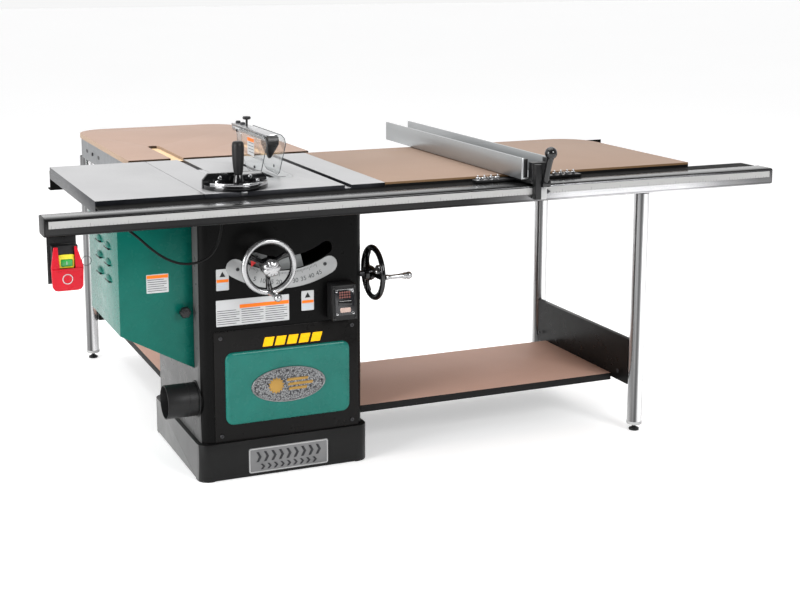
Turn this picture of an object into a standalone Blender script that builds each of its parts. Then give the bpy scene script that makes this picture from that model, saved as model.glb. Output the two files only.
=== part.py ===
"""A ten-inch cabinet table saw: iron table and wing, long extension table, outfeed table,
T-square fence on a tube rail, miter gauge, splitter-mounted guard, and the tilting arbor inside.

Metres, +Z up. X runs along the fence rail, Y from the front to the back.
The origin is the centre of the base plinth's underside.
"""

import math

import bmesh
import bpy
from mathutils import Matrix, Vector

OBJECT_NAME = "cabinet_table_saw"
GAP = 0.0003

# Tables
TABLE_TOP = 0.874
IRON_THICKNESS = 0.038
IRON_BOTTOM = TABLE_TOP - IRON_THICKNESS
TABLE_FRONT = -0.354
TABLE_BACK = 0.332
MAIN_LEFT = -0.259
MAIN_RIGHT = 0.285
WING_LEFT = -0.563
SLOT_CENTRES = (-0.143, 0.169)
SLOT_WIDTH = 0.019
SLOT_DEPTH = 0.0095
BOARD_THICKNESS = 0.018
BOARD_BOTTOM = TABLE_TOP - BOARD_THICKNESS
EXTENSION_RIGHT = 1.341
OUTFEED_LEFT = -0.304
OUTFEED_RIGHT = 0.314
OUTFEED_FRONT = 0.373
OUTFEED_BACK = 1.265
GROOVE_END = 0.705
GROOVE_DEPTH = 0.010
GROOVE_WIDTH = 0.042
REAR_RAIL_RIGHT = 1.442
FRONT_ANGLE_RIGHT = 1.547

# Table insert
INSERT_LEFT = -0.021
INSERT_RIGHT = 0.083
INSERT_FRONT = -0.165
INSERT_BACK = 0.195
INSERT_THICKNESS = 0.006
INSERT_LEDGE = 0.008

# Cabinet and base
BASE_HALF_X = 0.267
BASE_HALF_Y = 0.272
BASE_HEIGHT = 0.1142
CABINET_HALF_X = 0.254
CABINET_FRONT = -0.262
CABINET_BACK = 0.258
CABINET_BOTTOM = BASE_HEIGHT + GAP
CABINET_TOP = IRON_BOTTOM - GAP
CORNER_RADIUS = 0.032
SHEET = 0.003
DOOR_OPENING = ((-0.180, 0.335), (0.195, 0.775))
DUST_CENTRE = (-0.200, 0.239)
DUST_RADIUS = 0.050
COVER_HINGE = (-0.2605, 0.2130)

# Tilt axis, raise linkage and drive
TILT_X = 0.009
TILT_Z = TABLE_TOP
ARC_SLOT_RADIUS = 0.236
BLADE_RADIUS = 0.127
BLADE_THICKNESS = 0.003
ARM_LENGTH = 0.150
ARM_PIVOT = (-0.1343, 0.784)
ARBOR = (0.010, 0.743)
MOTOR_AXIS = (-0.075, 0.560)
MOTOR_RADIUS = 0.085
ARBOR_PULLEY_RADIUS = 0.0293
MOTOR_PULLEY_RADIUS = 0.0340
BELT_THICKNESS = 0.008
PULLEY_SPAN = (-0.1255, -0.0925)
RAISE_SHAFT = (-0.073, 0.6525)
RAISE_GEAR_RADIUS = 0.119
RAISE_TEETH = 94
TILT_SHAFT = (-0.204, 0.572)
TILT_GEAR_RADIUS = 0.2855
TILT_TEETH = 192
TOOTH_HEIGHT = 0.005

# Handwheels
RAISE_RIM_Y = -0.352
RAISE_RIM_RADIUS = 0.0745
TILT_RIM_X = 0.310
TILT_RIM_RADIUS = 0.078
RIM_TUBE = 0.008
WHEEL_SPOKES = 3

# Rails and fence
RAIL_LEFT = -0.722
RAIL_RIGHT = 1.556
RAIL_FRONT = -0.500
RAIL_BACK = -0.424
RAIL_BOTTOM = 0.812
RAIL_TOP = 0.862
FENCE_LEFT = 0.667
FENCE_RIGHT = 0.759
FENCE_FRONT = -0.479
FENCE_BACK = 0.529
FENCE_BOTTOM = 0.877
FENCE_TOP = 0.940
LEVER_PIVOT = (-0.520, 0.868)

# Stands
LEG_RADIUS = 0.024
LEG_BOTTOM = 0.022
EXTENSION_FRAME_BOTTOM = 0.785
OUTFEED_FRAME_BOTTOM = 0.786
EXTENSION_LEG_X = 1.176
EXTENSION_LEG_YS = (-0.344, 0.295)
OUTFEED_LEG_Y = 1.185
OUTFEED_LEG_XS = (-0.280, 0.290)
PANEL_BOTTOM = 0.1475
PANEL_TOP = 0.299
SHELF_BOTTOM = 0.137
SHELF_TOP = 0.160

# Switch
SWITCH_LEFT = -0.706
SWITCH_RIGHT = -0.639
SWITCH_FACE = -0.490

# Cord: the free loop between two glands under the rail, all in one plane
CORD_Y = -0.402
CORD_RADIUS = 0.0035
GLAND_BOTTOM = 0.815
CORD_ROUTE = [
    (-0.4870, GLAND_BOTTOM - GAP),
    (-0.4870, 0.8060),
    (-0.4800, 0.7940),
    (-0.4560, 0.772),
    (-0.4250, 0.742),
    (-0.3870, 0.713),
    (-0.3460, 0.695),
    (-0.3050, 0.692),
    (-0.2680, 0.704),
    (-0.2420, 0.733),
    (-0.2290, 0.772),
    (-0.2250, 0.8060),
    (-0.2250, GLAND_BOTTOM - GAP),
]

# Guard and miter gauge
GUARD_TOP = 1.003
GUARD_BOTTOM = 0.984
LINK_PIVOT = (0.165, 0.990)
SHIELD_PIVOT = (0.100, 0.990)
PAWL_PIVOT = (0.168, 0.918)
MITER_PIVOT = (-0.143, -0.268)
MITER_RADIUS = 0.093

LOOKS = {
    "cast_iron": ((0.60, 0.60, 0.61), 1.0, 0.38),
    "black_paint": ((0.022, 0.021, 0.021), 0.0, 0.45),
    "green_paint": ((0.012, 0.180, 0.135), 0.0, 0.35),
    "grey_paint": ((0.32, 0.33, 0.33), 0.0, 0.45),
    "laminate": ((0.46, 0.32, 0.24), 0.0, 0.50),
    "brown_laminate": ((0.35, 0.20, 0.12), 0.0, 0.50),
    "chrome": ((0.75, 0.75, 0.76), 1.0, 0.12),
    "aluminium": ((0.42, 0.43, 0.43), 1.0, 0.40),
    "steel": ((0.45, 0.45, 0.46), 1.0, 0.35),
    "black_plastic": ((0.018, 0.018, 0.019), 0.0, 0.40),
    "clear_plastic": ((0.80, 0.82, 0.82), 0.0, 0.08),
    "red_plastic": ((0.75, 0.01, 0.03), 0.0, 0.35),
    "green_plastic": ((0.03, 0.35, 0.08), 0.0, 0.35),
    "rubber": ((0.02, 0.02, 0.02), 0.0, 0.75),
}


# ---------------------------------------------------------------- scene and objects


def clear_scene():
    for item in list(bpy.data.objects):
        bpy.data.objects.remove(item, do_unlink=True)


def new_collection(name):
    collection = bpy.data.collections.new(name)
    bpy.context.scene.collection.children.link(collection)
    return collection


def look(name):
    """The Principled material of that name, made once."""
    material = bpy.data.materials.get(name)
    if material is None:
        colour, metallic, roughness = LOOKS[name]
        material = bpy.data.materials.new(name)
        material.use_nodes = True
        shader = material.node_tree.nodes["Principled BSDF"]
        shader.inputs["Base Color"].default_value = (*colour, 1.0)
        shader.inputs["Metallic"].default_value = metallic
        shader.inputs["Roughness"].default_value = roughness
        material.diffuse_color = (*colour, 1.0)
    return material


def part(name, shape, look_name, pivot=(0.0, 0.0, 0.0)):
    """A named sub-part with its own material, and its origin on the given pivot."""
    bmesh.ops.translate(shape, vec=-Vector(pivot), verts=shape.verts)
    mesh = bpy.data.meshes.new(name)
    shape.to_mesh(mesh)
    shape.free()
    mesh.shade_smooth()
    mesh.set_sharp_from_angle(angle=math.radians(35))
    obj = bpy.data.objects.new(name, mesh)
    obj.location = pivot
    material = look(look_name).copy()
    material.name = name + "_finish"
    mesh.materials.append(material)
    parts.objects.link(obj)
    return obj


def tool(owner, shape, operation):
    """A hidden solid that is joined to a sub-part, or cut out of it."""
    mesh = bpy.data.meshes.new("tool")
    shape.to_mesh(mesh)
    shape.free()
    helper = bpy.data.objects.new(owner.name + "_tool", mesh)
    helper.hide_render = True
    helper.display_type = "WIRE"
    cutters.objects.link(helper)
    modifier = owner.modifiers.new(operation.lower(), "BOOLEAN")
    modifier.operation = operation
    modifier.solver = "EXACT"
    modifier.object = helper


def cut(owner, *shapes):
    for shape in shapes:
        tool(owner, shape, "DIFFERENCE")


def join(owner, *shapes):
    for shape in shapes:
        tool(owner, shape, "UNION")


# ---------------------------------------------------------------- shapes


def block(low, high, radius=0.0, along=2, segments=4):
    """A box between two corners. With a radius, its edges along one axis are rounded."""
    shape = bmesh.new()
    bmesh.ops.create_cube(shape, size=1.0)
    size = Vector(high) - Vector(low)
    bmesh.ops.scale(shape, vec=size, verts=shape.verts)
    bmesh.ops.translate(shape, vec=(Vector(high) + Vector(low)) / 2, verts=shape.verts)
    if radius:
        half = size[along] / 2
        edges = [e for e in shape.edges if abs(e.verts[0].co[along] - e.verts[1].co[along]) > half]
        bmesh.ops.bevel(shape, geom=edges, offset=radius, segments=segments, affect="EDGES", profile=0.5)
    return shape


def rod(start, end, radius, end_radius=None, sides=20):
    """A cylinder or cone from one point to another."""
    start = Vector(start)
    end = Vector(end)
    run = end - start
    shape = bmesh.new()
    bmesh.ops.create_cone(
        shape, cap_ends=True, segments=sides, radius1=radius,
        radius2=radius if end_radius is None else end_radius, depth=run.length,
    )
    turn = Vector((0, 0, 1)).rotation_difference(run).to_matrix().to_4x4()
    bmesh.ops.transform(shape, matrix=Matrix.Translation((start + end) / 2) @ turn, verts=shape.verts)
    return shape


def evaluated_shape(obj):
    """The evaluated mesh of a temporary object, welded, with the object removed."""
    parts.objects.link(obj)
    mesh = bpy.data.meshes.new_from_object(obj.evaluated_get(bpy.context.evaluated_depsgraph_get()))
    shape = bmesh.new()
    shape.from_mesh(mesh)
    bpy.data.objects.remove(obj, do_unlink=True)
    bmesh.ops.remove_doubles(shape, verts=shape.verts, dist=0.00002)
    bmesh.ops.recalc_face_normals(shape, faces=shape.faces)
    return shape


def plate(outlines, axis, low, high):
    """Flat outlines, the first outside and the rest holes, extruded along an axis.

    Points are (y, z) along X, (x, z) along Y and (x, y) along Z.
    """
    curve = bpy.data.curves.new("outline", "CURVE")
    curve.dimensions = "2D"
    curve.fill_mode = "BOTH"
    curve.extrude = (high - low) / 2
    for outline in outlines:
        spline = curve.splines.new("POLY")
        spline.points.add(len(outline) - 1)
        for point, (u, v) in zip(spline.points, outline):
            point.co = (u, v, 0.0, 1.0)
        spline.use_cyclic_u = True
    shape = evaluated_shape(bpy.data.objects.new("outline", curve))
    middle = (low + high) / 2
    placing = {
        0: Matrix(((0, 0, 1, middle), (1, 0, 0, 0), (0, 1, 0, 0), (0, 0, 0, 1))),
        1: Matrix(((1, 0, 0, 0), (0, 0, -1, middle), (0, 1, 0, 0), (0, 0, 0, 1))),
        2: Matrix.Translation((0, 0, middle)),
    }[axis]
    bmesh.ops.transform(shape, matrix=placing, verts=shape.verts)
    return shape


def turned(profile, base, direction, steps=20):
    """A turned solid: (radius, height) pairs from the top down, heights along the direction."""
    mesh = bpy.data.meshes.new("profile")
    points = [(radius, 0.0, height) for radius, height in profile]
    mesh.from_pydata(points, [(i, i + 1) for i in range(len(points) - 1)], [])
    obj = bpy.data.objects.new("profile", mesh)
    screw = obj.modifiers.new("turn", "SCREW")
    screw.steps = steps
    screw.render_steps = steps
    screw.use_merge_vertices = True
    screw.merge_threshold = 0.00005
    shape = evaluated_shape(obj)
    turn = Vector((0, 0, 1)).rotation_difference(Vector(direction)).to_matrix().to_4x4()
    bmesh.ops.transform(shape, matrix=Matrix.Translation(base) @ turn, verts=shape.verts)
    return shape


def ring(centre, direction, major, minor, around=28, across=8):
    """A torus about the given direction."""
    bpy.ops.mesh.primitive_torus_add(
        major_radius=major, minor_radius=minor, major_segments=around, minor_segments=across,
    )
    made = bpy.context.active_object
    shape = bmesh.new()
    shape.from_mesh(made.data)
    bpy.data.objects.remove(made, do_unlink=True)
    turn = Vector((0, 0, 1)).rotation_difference(Vector(direction)).to_matrix().to_4x4()
    bmesh.ops.transform(shape, matrix=Matrix.Translation(centre) @ turn, verts=shape.verts)
    return shape


def tube_along(points, radius, resolution=2):
    """A round cord along a list of points, with closed ends."""
    curve = bpy.data.curves.new("tube", "CURVE")
    curve.dimensions = "3D"
    curve.bevel_depth = radius
    curve.bevel_resolution = resolution
    curve.use_fill_caps = True
    spline = curve.splines.new("POLY")
    spline.points.add(len(points) - 1)
    for point, place in zip(spline.points, points):
        point.co = (*place, 1.0)
    return evaluated_shape(bpy.data.objects.new("tube", curve))


def ring_of_loops(levels):
    """A closed ring skinned over (outline, height) pairs, the last joined back to the first."""
    shape = bmesh.new()
    rows = [[shape.verts.new((x, y, z)) for x, y in outline] for outline, z in levels]
    for row, above in zip(rows, rows[1:] + rows[:1]):
        for i in range(len(row)):
            j = (i + 1) % len(row)
            shape.faces.new((row[i], row[j], above[j], above[i]))
    bmesh.ops.recalc_face_normals(shape, faces=shape.faces)
    return shape


# ---------------------------------------------------------------- outlines


def on_circle(centre, radius, angle):
    """The point at an angle in degrees from the first axis towards the second."""
    turn = math.radians(angle)
    return (centre[0] + radius * math.cos(turn), centre[1] + radius * math.sin(turn))


def arc(centre, radius, start, end, steps):
    """Points on an arc, with angles in degrees from the first axis towards the second."""
    return [on_circle(centre, radius, start + (end - start) * i / steps) for i in range(steps + 1)]


def band(centre, inner, outer, start, end, steps=12):
    """Part of a flat ring. Angles are from straight down, positive towards the first axis."""
    outside = arc(centre, outer, start - 90, end - 90, steps)
    inside = arc(centre, inner, end - 90, start - 90, steps)
    return outside + inside


def toothed_band(centre, inner, tip, start, end, teeth_in_circle):
    """Part of a flat ring with gear teeth on its outer edge."""
    pitch = 360 / teeth_in_circle
    count = int((end - start) / pitch)
    outside = []
    for i in range(count):
        root = tip - TOOTH_HEIGHT
        for fraction, radius in ((0.0, root), (0.3, tip), (0.6, tip), (0.9, root)):
            outside.append(on_circle(centre, radius, start + (i + fraction) * pitch - 90))
    return outside + arc(centre, inner, start + count * pitch - 90, start - 90, 10)


def star(centre, radius, lobes, depth=0.10, points_per_lobe=4):
    """A round knob's outline with shallow lobes."""
    outline = []
    total = lobes * points_per_lobe
    for i in range(total):
        angle = 2 * math.pi * i / total
        reach = radius * (1 - depth / 2 + depth / 2 * math.cos(lobes * angle))
        outline.append((centre[0] + reach * math.cos(angle), centre[1] + reach * math.sin(angle)))
    return outline


def capsule(first, second, first_radius, second_radius=None, steps=8):
    """The outline round two circles, which may differ in size."""
    if second_radius is None:
        second_radius = first_radius
    run = Vector((second[0] - first[0], second[1] - first[1]))
    heading = math.degrees(math.atan2(run.y, run.x))
    lean = math.degrees(math.asin((first_radius - second_radius) / run.length))
    start = arc(first, first_radius, heading + 90 - lean, heading + 270 + lean, steps)
    finish = arc(second, second_radius, heading - 90 + lean, heading + 90 - lean, steps)
    return start + finish


def insert_outline(inset):
    """The table insert's outline, a slot shape with full round ends, drawn in by an inset."""
    radius = (INSERT_RIGHT - INSERT_LEFT) / 2
    centre = (INSERT_LEFT + INSERT_RIGHT) / 2
    return capsule((centre, INSERT_FRONT + radius), (centre, INSERT_BACK - radius), radius - inset, steps=12)


def smooth_route(route, spacing):
    """Points at an even spacing on a Catmull-Rom curve through the route's own points."""
    ends = [2 * Vector(route[0]) - Vector(route[1])]
    knots = ends + [Vector(p) for p in route] + [2 * Vector(route[-1]) - Vector(route[-2])]
    fine = []
    for a, b, c, d in zip(knots, knots[1:], knots[2:], knots[3:]):
        for i in range(20):
            t = i / 20
            fine.append(0.5 * (2 * b + (c - a) * t + (2 * a - 5 * b + 4 * c - d) * t ** 2
                               + (3 * b - a - 3 * c + d) * t ** 3))
    fine.append(Vector(route[-1]))
    length = sum((q - p).length for p, q in zip(fine, fine[1:]))
    count = round(length / spacing)
    places = [fine[0]]
    walked = 0.0
    for p, q in zip(fine, fine[1:]):
        walked += (q - p).length
        if walked >= length * len(places) / count and len(places) < count:
            places.append(q)
    return places + [fine[-1]]


# ---------------------------------------------------------------- base and cabinet


def base_plinth():
    wall = 0.006
    lip = 0.030
    low = (-BASE_HALF_X, -BASE_HALF_Y, 0.0)
    high = (BASE_HALF_X, BASE_HALF_Y, BASE_HEIGHT)
    plinth = part("base_plinth", block(low, high, CORNER_RADIUS + 0.003), "black_paint")
    inside_low = (-BASE_HALF_X + wall, -BASE_HALF_Y + wall, 0.005)
    inside_high = (BASE_HALF_X - wall, BASE_HALF_Y - wall, BASE_HEIGHT - 0.006)
    cut(plinth, block(inside_low, inside_high, CORNER_RADIUS - 0.003))
    cut(plinth, block(
        (-BASE_HALF_X + lip, -BASE_HALF_Y + lip, 0.05), (BASE_HALF_X - lip, BASE_HALF_Y - lip, 0.2), 0.02,
    ))
    reach = 0.222
    relief = 0.0035
    for side in (-1, 1):
        cut(plinth, block(
            (-reach, side * BASE_HALF_Y - 0.004, -0.01), (reach, side * BASE_HALF_Y + 0.004, relief),
        ))
        cut(plinth, block(
            (side * BASE_HALF_X - 0.004, -reach, -0.01), (side * BASE_HALF_X + 0.004, reach, relief),
        ))


def cabinet():
    low = (-CABINET_HALF_X, CABINET_FRONT, CABINET_BOTTOM)
    high = (CABINET_HALF_X, CABINET_BACK, CABINET_TOP)
    shape = block(low, high, CORNER_RADIUS)
    ends = [face for face in shape.faces if abs(face.normal.z) > 0.9]
    bmesh.ops.delete(shape, geom=ends, context="FACES")
    shell = part("cabinet", shape, "black_paint")
    thicken = shell.modifiers.new("sheet", "SOLIDIFY")
    thicken.thickness = SHEET
    thicken.offset = -1.0
    centre = (TILT_X, TILT_Z)
    middle = ARC_SLOT_RADIUS
    half = 0.0195
    left = on_circle(centre, middle, -24 - 90)
    right = on_circle(centre, middle, 32.5 - 90)
    slot = arc(centre, middle + half, -24 - 90, 32.5 - 90, 14)
    slot += arc(right, half, 32.5 - 90, 32.5 + 90, 6)[1:-1]
    slot += arc(centre, middle - half, 32.5 - 90, -24 - 90, 14)
    slot += arc(left, half, -24 + 90, -24 + 270, 6)[1:-1]
    cut(shell, plate([slot], 1, CABINET_FRONT - 0.01, CABINET_FRONT + 0.02))
    (y_low, z_low), (y_high, z_high) = DOOR_OPENING
    cut(shell, block(
        (-CABINET_HALF_X - 0.01, y_low, z_low), (-CABINET_HALF_X + 0.02, y_high, z_high), 0.015, along=0,
    ))
    cut(shell, rod((-0.27, *DUST_CENTRE), (-0.22, *DUST_CENTRE), DUST_RADIUS - 0.006, sides=24))
    cut(shell, rod((0.24, *TILT_SHAFT), (0.27, *TILT_SHAFT), 0.0125, sides=16))


def lower_front_panel():
    back = CABINET_FRONT - GAP
    panel = part(
        "lower_front_panel",
        block((-0.216, back - SHEET, 0.115), (0.235, back, 0.451), 0.004, along=1, segments=2),
        "black_paint",
    )
    inset = block((-0.183, back - 0.012, 0.167), (0.205, back - 0.001, 0.386), 0.022, along=1)
    join(panel, inset)


def dust_port():
    wall = 0.0025
    tube = part(
        "dust_port",
        rod((-0.350, *DUST_CENTRE), (-CABINET_HALF_X - GAP, *DUST_CENTRE), DUST_RADIUS, sides=28),
        "black_plastic",
    )
    cut(tube, rod((-0.36, *DUST_CENTRE), (-0.24, *DUST_CENTRE), DUST_RADIUS - wall, sides=28))


def control_box():
    back = CABINET_FRONT - GAP
    outline = [
        (back, 0.461), (back - 0.050, 0.461), (back - 0.052, 0.466),
        (back - 0.041, 0.564), (back - 0.036, 0.568), (back, 0.568),
    ]
    part("control_box", plate([outline], 0, 0.136, 0.214), "black_plastic")


def motor_cover():
    """The sloped sheet box over the motor, hinged at its rear edge."""
    near = -CABINET_HALF_X - GAP * 2
    far = -0.471
    front = -0.192
    back = 0.207
    top = 0.782
    outline = [(near, 0.330), (near, top), (far, top), (far, 0.448)]
    hinge = (COVER_HINGE[0], COVER_HINGE[1], 0.0)
    cover = part("motor_cover", plate([outline], 1, front, back), "green_paint", hinge)
    inner = [
        (near + 0.02, 0.330 + SHEET), (near + 0.02, top - SHEET),
        (far + SHEET, top - SHEET), (far + SHEET, 0.448 + SHEET),
    ]
    inner[0] = (near + 0.02, 0.330 + SHEET - 0.02 * (0.448 - 0.330) / (near - far))
    cut(cover, plate([inner], 1, front + SHEET, back - SHEET))
    barrel = 0.005
    join(cover, rod((*COVER_HINGE, 0.345), (*COVER_HINGE, 0.775), barrel, sides=12))
    join(cover, block(
        (COVER_HINGE[0] - 0.008, back - 0.002, 0.350), (COVER_HINGE[0] - 0.001, COVER_HINGE[1], 0.770),
    ))


def cover_knob():
    x = -0.284
    z = 0.506
    front = -0.192 - GAP
    knob = part(
        "cover_knob", plate([star((x, z), 0.017, 7)], 1, front - 0.030, front - 0.014),
        "black_plastic", (x, front, z),
    )
    join(knob, rod((x, front - 0.016, z), (x, front, z), 0.007, 0.009, sides=14))


# ---------------------------------------------------------------- tables


def miter_slot(x, y_low, y_high, depth, width=SLOT_WIDTH, rounded_end=False):
    """The cutter of one miter slot, with an optional round far end."""
    half = width / 2
    top = TABLE_TOP + 0.01
    if not rounded_end:
        return block((x - half, y_low, TABLE_TOP - depth), (x + half, y_high, top))
    end = arc((x, y_high - half), half, 0, 180, 6)
    outline = [(x - half, y_low), (x + half, y_low)] + end
    return plate([outline], 2, TABLE_TOP - depth, top)


def main_table():
    table = part(
        "main_table",
        block((MAIN_LEFT, TABLE_FRONT, IRON_BOTTOM), (MAIN_RIGHT, TABLE_BACK, TABLE_TOP)),
        "cast_iron",
    )
    for x in SLOT_CENTRES:
        cut(table, miter_slot(x, TABLE_FRONT - 0.01, TABLE_BACK + 0.01, SLOT_DEPTH))
    below = IRON_BOTTOM - 0.01
    cut(table, block((-0.128, -0.205, below), (0.150, 0.215, 0.861)))
    cut(table, block((-0.128, -0.035, below), (-0.088, 0.055, 0.8665)))
    cut(table, block((-0.243, -0.250, below), (-0.137, 0.246, 0.852)))
    cut(table, block((0.162, -0.250, below), (0.240, 0.246, 0.852)))
    seat = TABLE_TOP - INSERT_THICKNESS - 2 * GAP
    cut(table, plate([insert_outline(0.0)], 2, seat, TABLE_TOP + 0.01))
    cut(table, plate([insert_outline(INSERT_LEDGE)], 2, 0.850, TABLE_TOP + 0.01))


def left_wing():
    wing = part(
        "left_wing",
        block((WING_LEFT, TABLE_FRONT, IRON_BOTTOM), (MAIN_LEFT - GAP, TABLE_BACK, TABLE_TOP)),
        "cast_iron",
    )
    below = IRON_BOTTOM - 0.01
    rim = 0.015
    for y_low, y_high in ((TABLE_FRONT + rim, -0.017), (-0.005, TABLE_BACK - rim)):
        cut(wing, block((WING_LEFT + rim, y_low, below), (MAIN_LEFT - rim, y_high, 0.860)))


def table_insert():
    top = TABLE_TOP - GAP
    insert = part(
        "table_insert", plate([insert_outline(0.0005)], 2, top - INSERT_THICKNESS, top), "aluminium",
    )
    cut(insert, block((0.004, -0.138, top - 0.02), (0.020, 0.178, top + 0.01)))


def extension_table():
    front = TABLE_FRONT
    left = MAIN_RIGHT + GAP
    corner = 0.125
    outline = [(left, front), (EXTENSION_RIGHT, front)]
    outline += arc((EXTENSION_RIGHT - corner, TABLE_BACK - corner), corner, 0, 90, 8)
    outline.append((left, TABLE_BACK))
    table = part("extension_table", plate([outline], 2, BOARD_BOTTOM, TABLE_TOP), "laminate")
    rise = BOARD_BOTTOM + 0.001
    board = 0.018
    low = EXTENSION_FRAME_BOTTOM
    join(table, block((0.300, front + GAP, low), (1.190, front + board, rise)))
    join(table, block((0.300, 0.300, low), (1.190, 0.318, rise)))
    for x in (0.300, 1.172):
        join(table, block((x, front + 0.010, low), (x + board, 0.310, rise)))


def outfeed_table():
    corner = 0.115
    outline = [(OUTFEED_LEFT, OUTFEED_FRONT), (OUTFEED_RIGHT, OUTFEED_FRONT)]
    outline += arc((OUTFEED_RIGHT - corner, OUTFEED_BACK - corner), corner, 0, 90, 8)
    outline += arc((OUTFEED_LEFT + corner, OUTFEED_BACK - corner), corner, 90, 180, 8)
    table = part("outfeed_table", plate([outline], 2, BOARD_BOTTOM, TABLE_TOP), "laminate")
    for x in SLOT_CENTRES:
        cut(table, miter_slot(x, OUTFEED_FRONT - 0.01, GROOVE_END, GROOVE_DEPTH, GROOVE_WIDTH, True))


def outfeed_apron():
    """A sheet skirt under the outfeed board, with a flange turned in along its lower edge."""
    wall = 0.003
    corner = 0.111
    left = OUTFEED_LEFT + 0.004
    right = OUTFEED_RIGHT - 0.004
    back = OUTFEED_BACK - 0.004
    front = OUTFEED_FRONT + 0.012

    def loop(shrink):
        points = [(left + shrink, front + shrink), (right - shrink, front + shrink)]
        points += arc((right - corner, back - corner), corner - shrink, 0, 90, 8)
        points += arc((left + corner, back - corner), corner - shrink, 90, 180, 8)
        return points

    low = OUTFEED_FRAME_BOTTOM
    top = BOARD_BOTTOM - GAP
    profile = [(0.0, low), (0.0, top), (wall, top), (wall, low + wall), (0.050, low + wall), (0.050, low)]
    part("outfeed_apron", ring_of_loops([(loop(shrink), z) for shrink, z in profile]), "grey_paint")


# ---------------------------------------------------------------- rails


def front_rail():
    wall = 0.003
    rail = part(
        "front_rail",
        block((RAIL_LEFT, RAIL_FRONT, RAIL_BOTTOM), (RAIL_RIGHT, RAIL_BACK, RAIL_TOP), 0.007, along=0),
        "chrome",
    )
    cut(rail, block(
        (RAIL_LEFT - 0.01, RAIL_FRONT + wall, RAIL_BOTTOM + wall),
        (RAIL_RIGHT + 0.01, RAIL_BACK - wall, RAIL_TOP - wall), 0.004, along=0,
    ))


def front_rail_angle():
    """The black angle between the rail and the tables, its lower strip and the two cord glands."""
    top = RAIL_TOP - 0.001
    back = TABLE_FRONT - GAP
    wall = 0.004
    angle = part(
        "front_rail_angle",
        block((WING_LEFT, RAIL_BACK + GAP, top - 0.006), (FRONT_ANGLE_RIGHT, back, top)),
        "black_paint",
    )
    join(angle, block((WING_LEFT, back - wall, 0.800), (FRONT_ANGLE_RIGHT - 0.02, back, top - 0.001)))
    strip = [(0.513, 0.812), (1.214, 0.812), (1.214, 0.785), (0.575, 0.785), (0.513, 0.797)]
    join(angle, plate([strip], 1, back - wall, back))
    for x in (CORD_ROUTE[0][0], CORD_ROUTE[-1][0]):
        join(angle, rod((x, CORD_Y, GLAND_BOTTOM), (x, CORD_Y, top - 0.003), 0.006, 0.009, sides=12))


def rear_rail_angle():
    low = 0.800
    front = TABLE_BACK + GAP
    wall = 0.004
    angle = part(
        "rear_rail_angle",
        block((WING_LEFT, front, low), (REAR_RAIL_RIGHT, front + wall, RAIL_TOP)),
        "black_paint",
    )
    flange = (REAR_RAIL_RIGHT, OUTFEED_FRONT - GAP, low + wall)
    join(angle, block((WING_LEFT, front + 0.001, low), flange))


# ---------------------------------------------------------------- legs, feet, shelves


def leg(name, x, y, top):
    tube = part(name, rod((x, y, LEG_BOTTOM), (x, y, top - GAP), LEG_RADIUS, sides=24), "chrome")
    cut(tube, rod((x, y, LEG_BOTTOM - 0.01), (x, y, top + 0.01), LEG_RADIUS - 0.002, sides=24))


def levelling_foot(name, x, y):
    top = LEG_BOTTOM - GAP
    profile = [(0.0, top), (0.006, top), (0.006, 0.012), (0.011, 0.009)]
    profile += [(0.017, 0.006), (0.017, 0.0), (0.0, 0.0)]
    part(name, turned(profile, (x, y, 0.0), (0, 0, 1), steps=16), "black_plastic", (x, y, 0.0))


def legs_and_feet():
    places = [
        ("extension_leg_front", "extension_foot_front", EXTENSION_LEG_X, EXTENSION_LEG_YS[0]),
        ("extension_leg_rear", "extension_foot_rear", EXTENSION_LEG_X, EXTENSION_LEG_YS[1]),
        ("outfeed_leg_left", "outfeed_foot_left", OUTFEED_LEG_XS[0], OUTFEED_LEG_Y),
        ("outfeed_leg_right", "outfeed_foot_right", OUTFEED_LEG_XS[1], OUTFEED_LEG_Y),
    ]
    for leg_name, foot_name, x, y in places:
        top = EXTENSION_FRAME_BOTTOM if x == EXTENSION_LEG_X else OUTFEED_FRAME_BOTTOM
        leg(leg_name, x, y, top)
        levelling_foot(foot_name, x, y)


def end_panels():
    half = 0.008
    reach = LEG_RADIUS + GAP
    part("extension_end_panel", block(
        (EXTENSION_LEG_X - 2 * half, EXTENSION_LEG_YS[0] + reach, PANEL_BOTTOM),
        (EXTENSION_LEG_X, EXTENSION_LEG_YS[1] - reach, PANEL_TOP),
    ), "black_paint")
    part("outfeed_end_panel", block(
        (OUTFEED_LEG_XS[0] + reach, OUTFEED_LEG_Y - 2 * half, PANEL_BOTTOM),
        (OUTFEED_LEG_XS[1] - reach, OUTFEED_LEG_Y, PANEL_TOP),
    ), "black_paint")


def shelves():
    part("extension_shelf", block(
        (CABINET_HALF_X + GAP, -0.223, SHELF_BOTTOM), (EXTENSION_LEG_X - 0.016 - GAP, 0.212, SHELF_TOP),
    ), "brown_laminate")
    part("outfeed_shelf", block(
        (-0.218, CABINET_BACK + GAP, SHELF_BOTTOM), (0.227, OUTFEED_LEG_Y - 0.016 - GAP, SHELF_TOP),
    ), "brown_laminate")


# ---------------------------------------------------------------- tilting works


def trunnion_frame():
    """Two half-round brackets under the table, tied by two side rails."""
    centre = (TILT_X, TILT_Z)
    outline = band(centre, 0.130, 0.190, -78, 78, 20)
    frame = part("trunnion_frame", plate([outline], 1, -0.250, -0.238), "grey_paint")
    join(frame, plate([outline], 1, 0.226, 0.238))
    for x in (TILT_X - 0.190, TILT_X + 0.168):
        join(frame, block((x, -0.249, 0.815), (x + 0.022, 0.237, CABINET_TOP)))
    cut(frame, block((-0.3, -0.3, CABINET_TOP), (0.3, 0.3, 0.95)))


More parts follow.
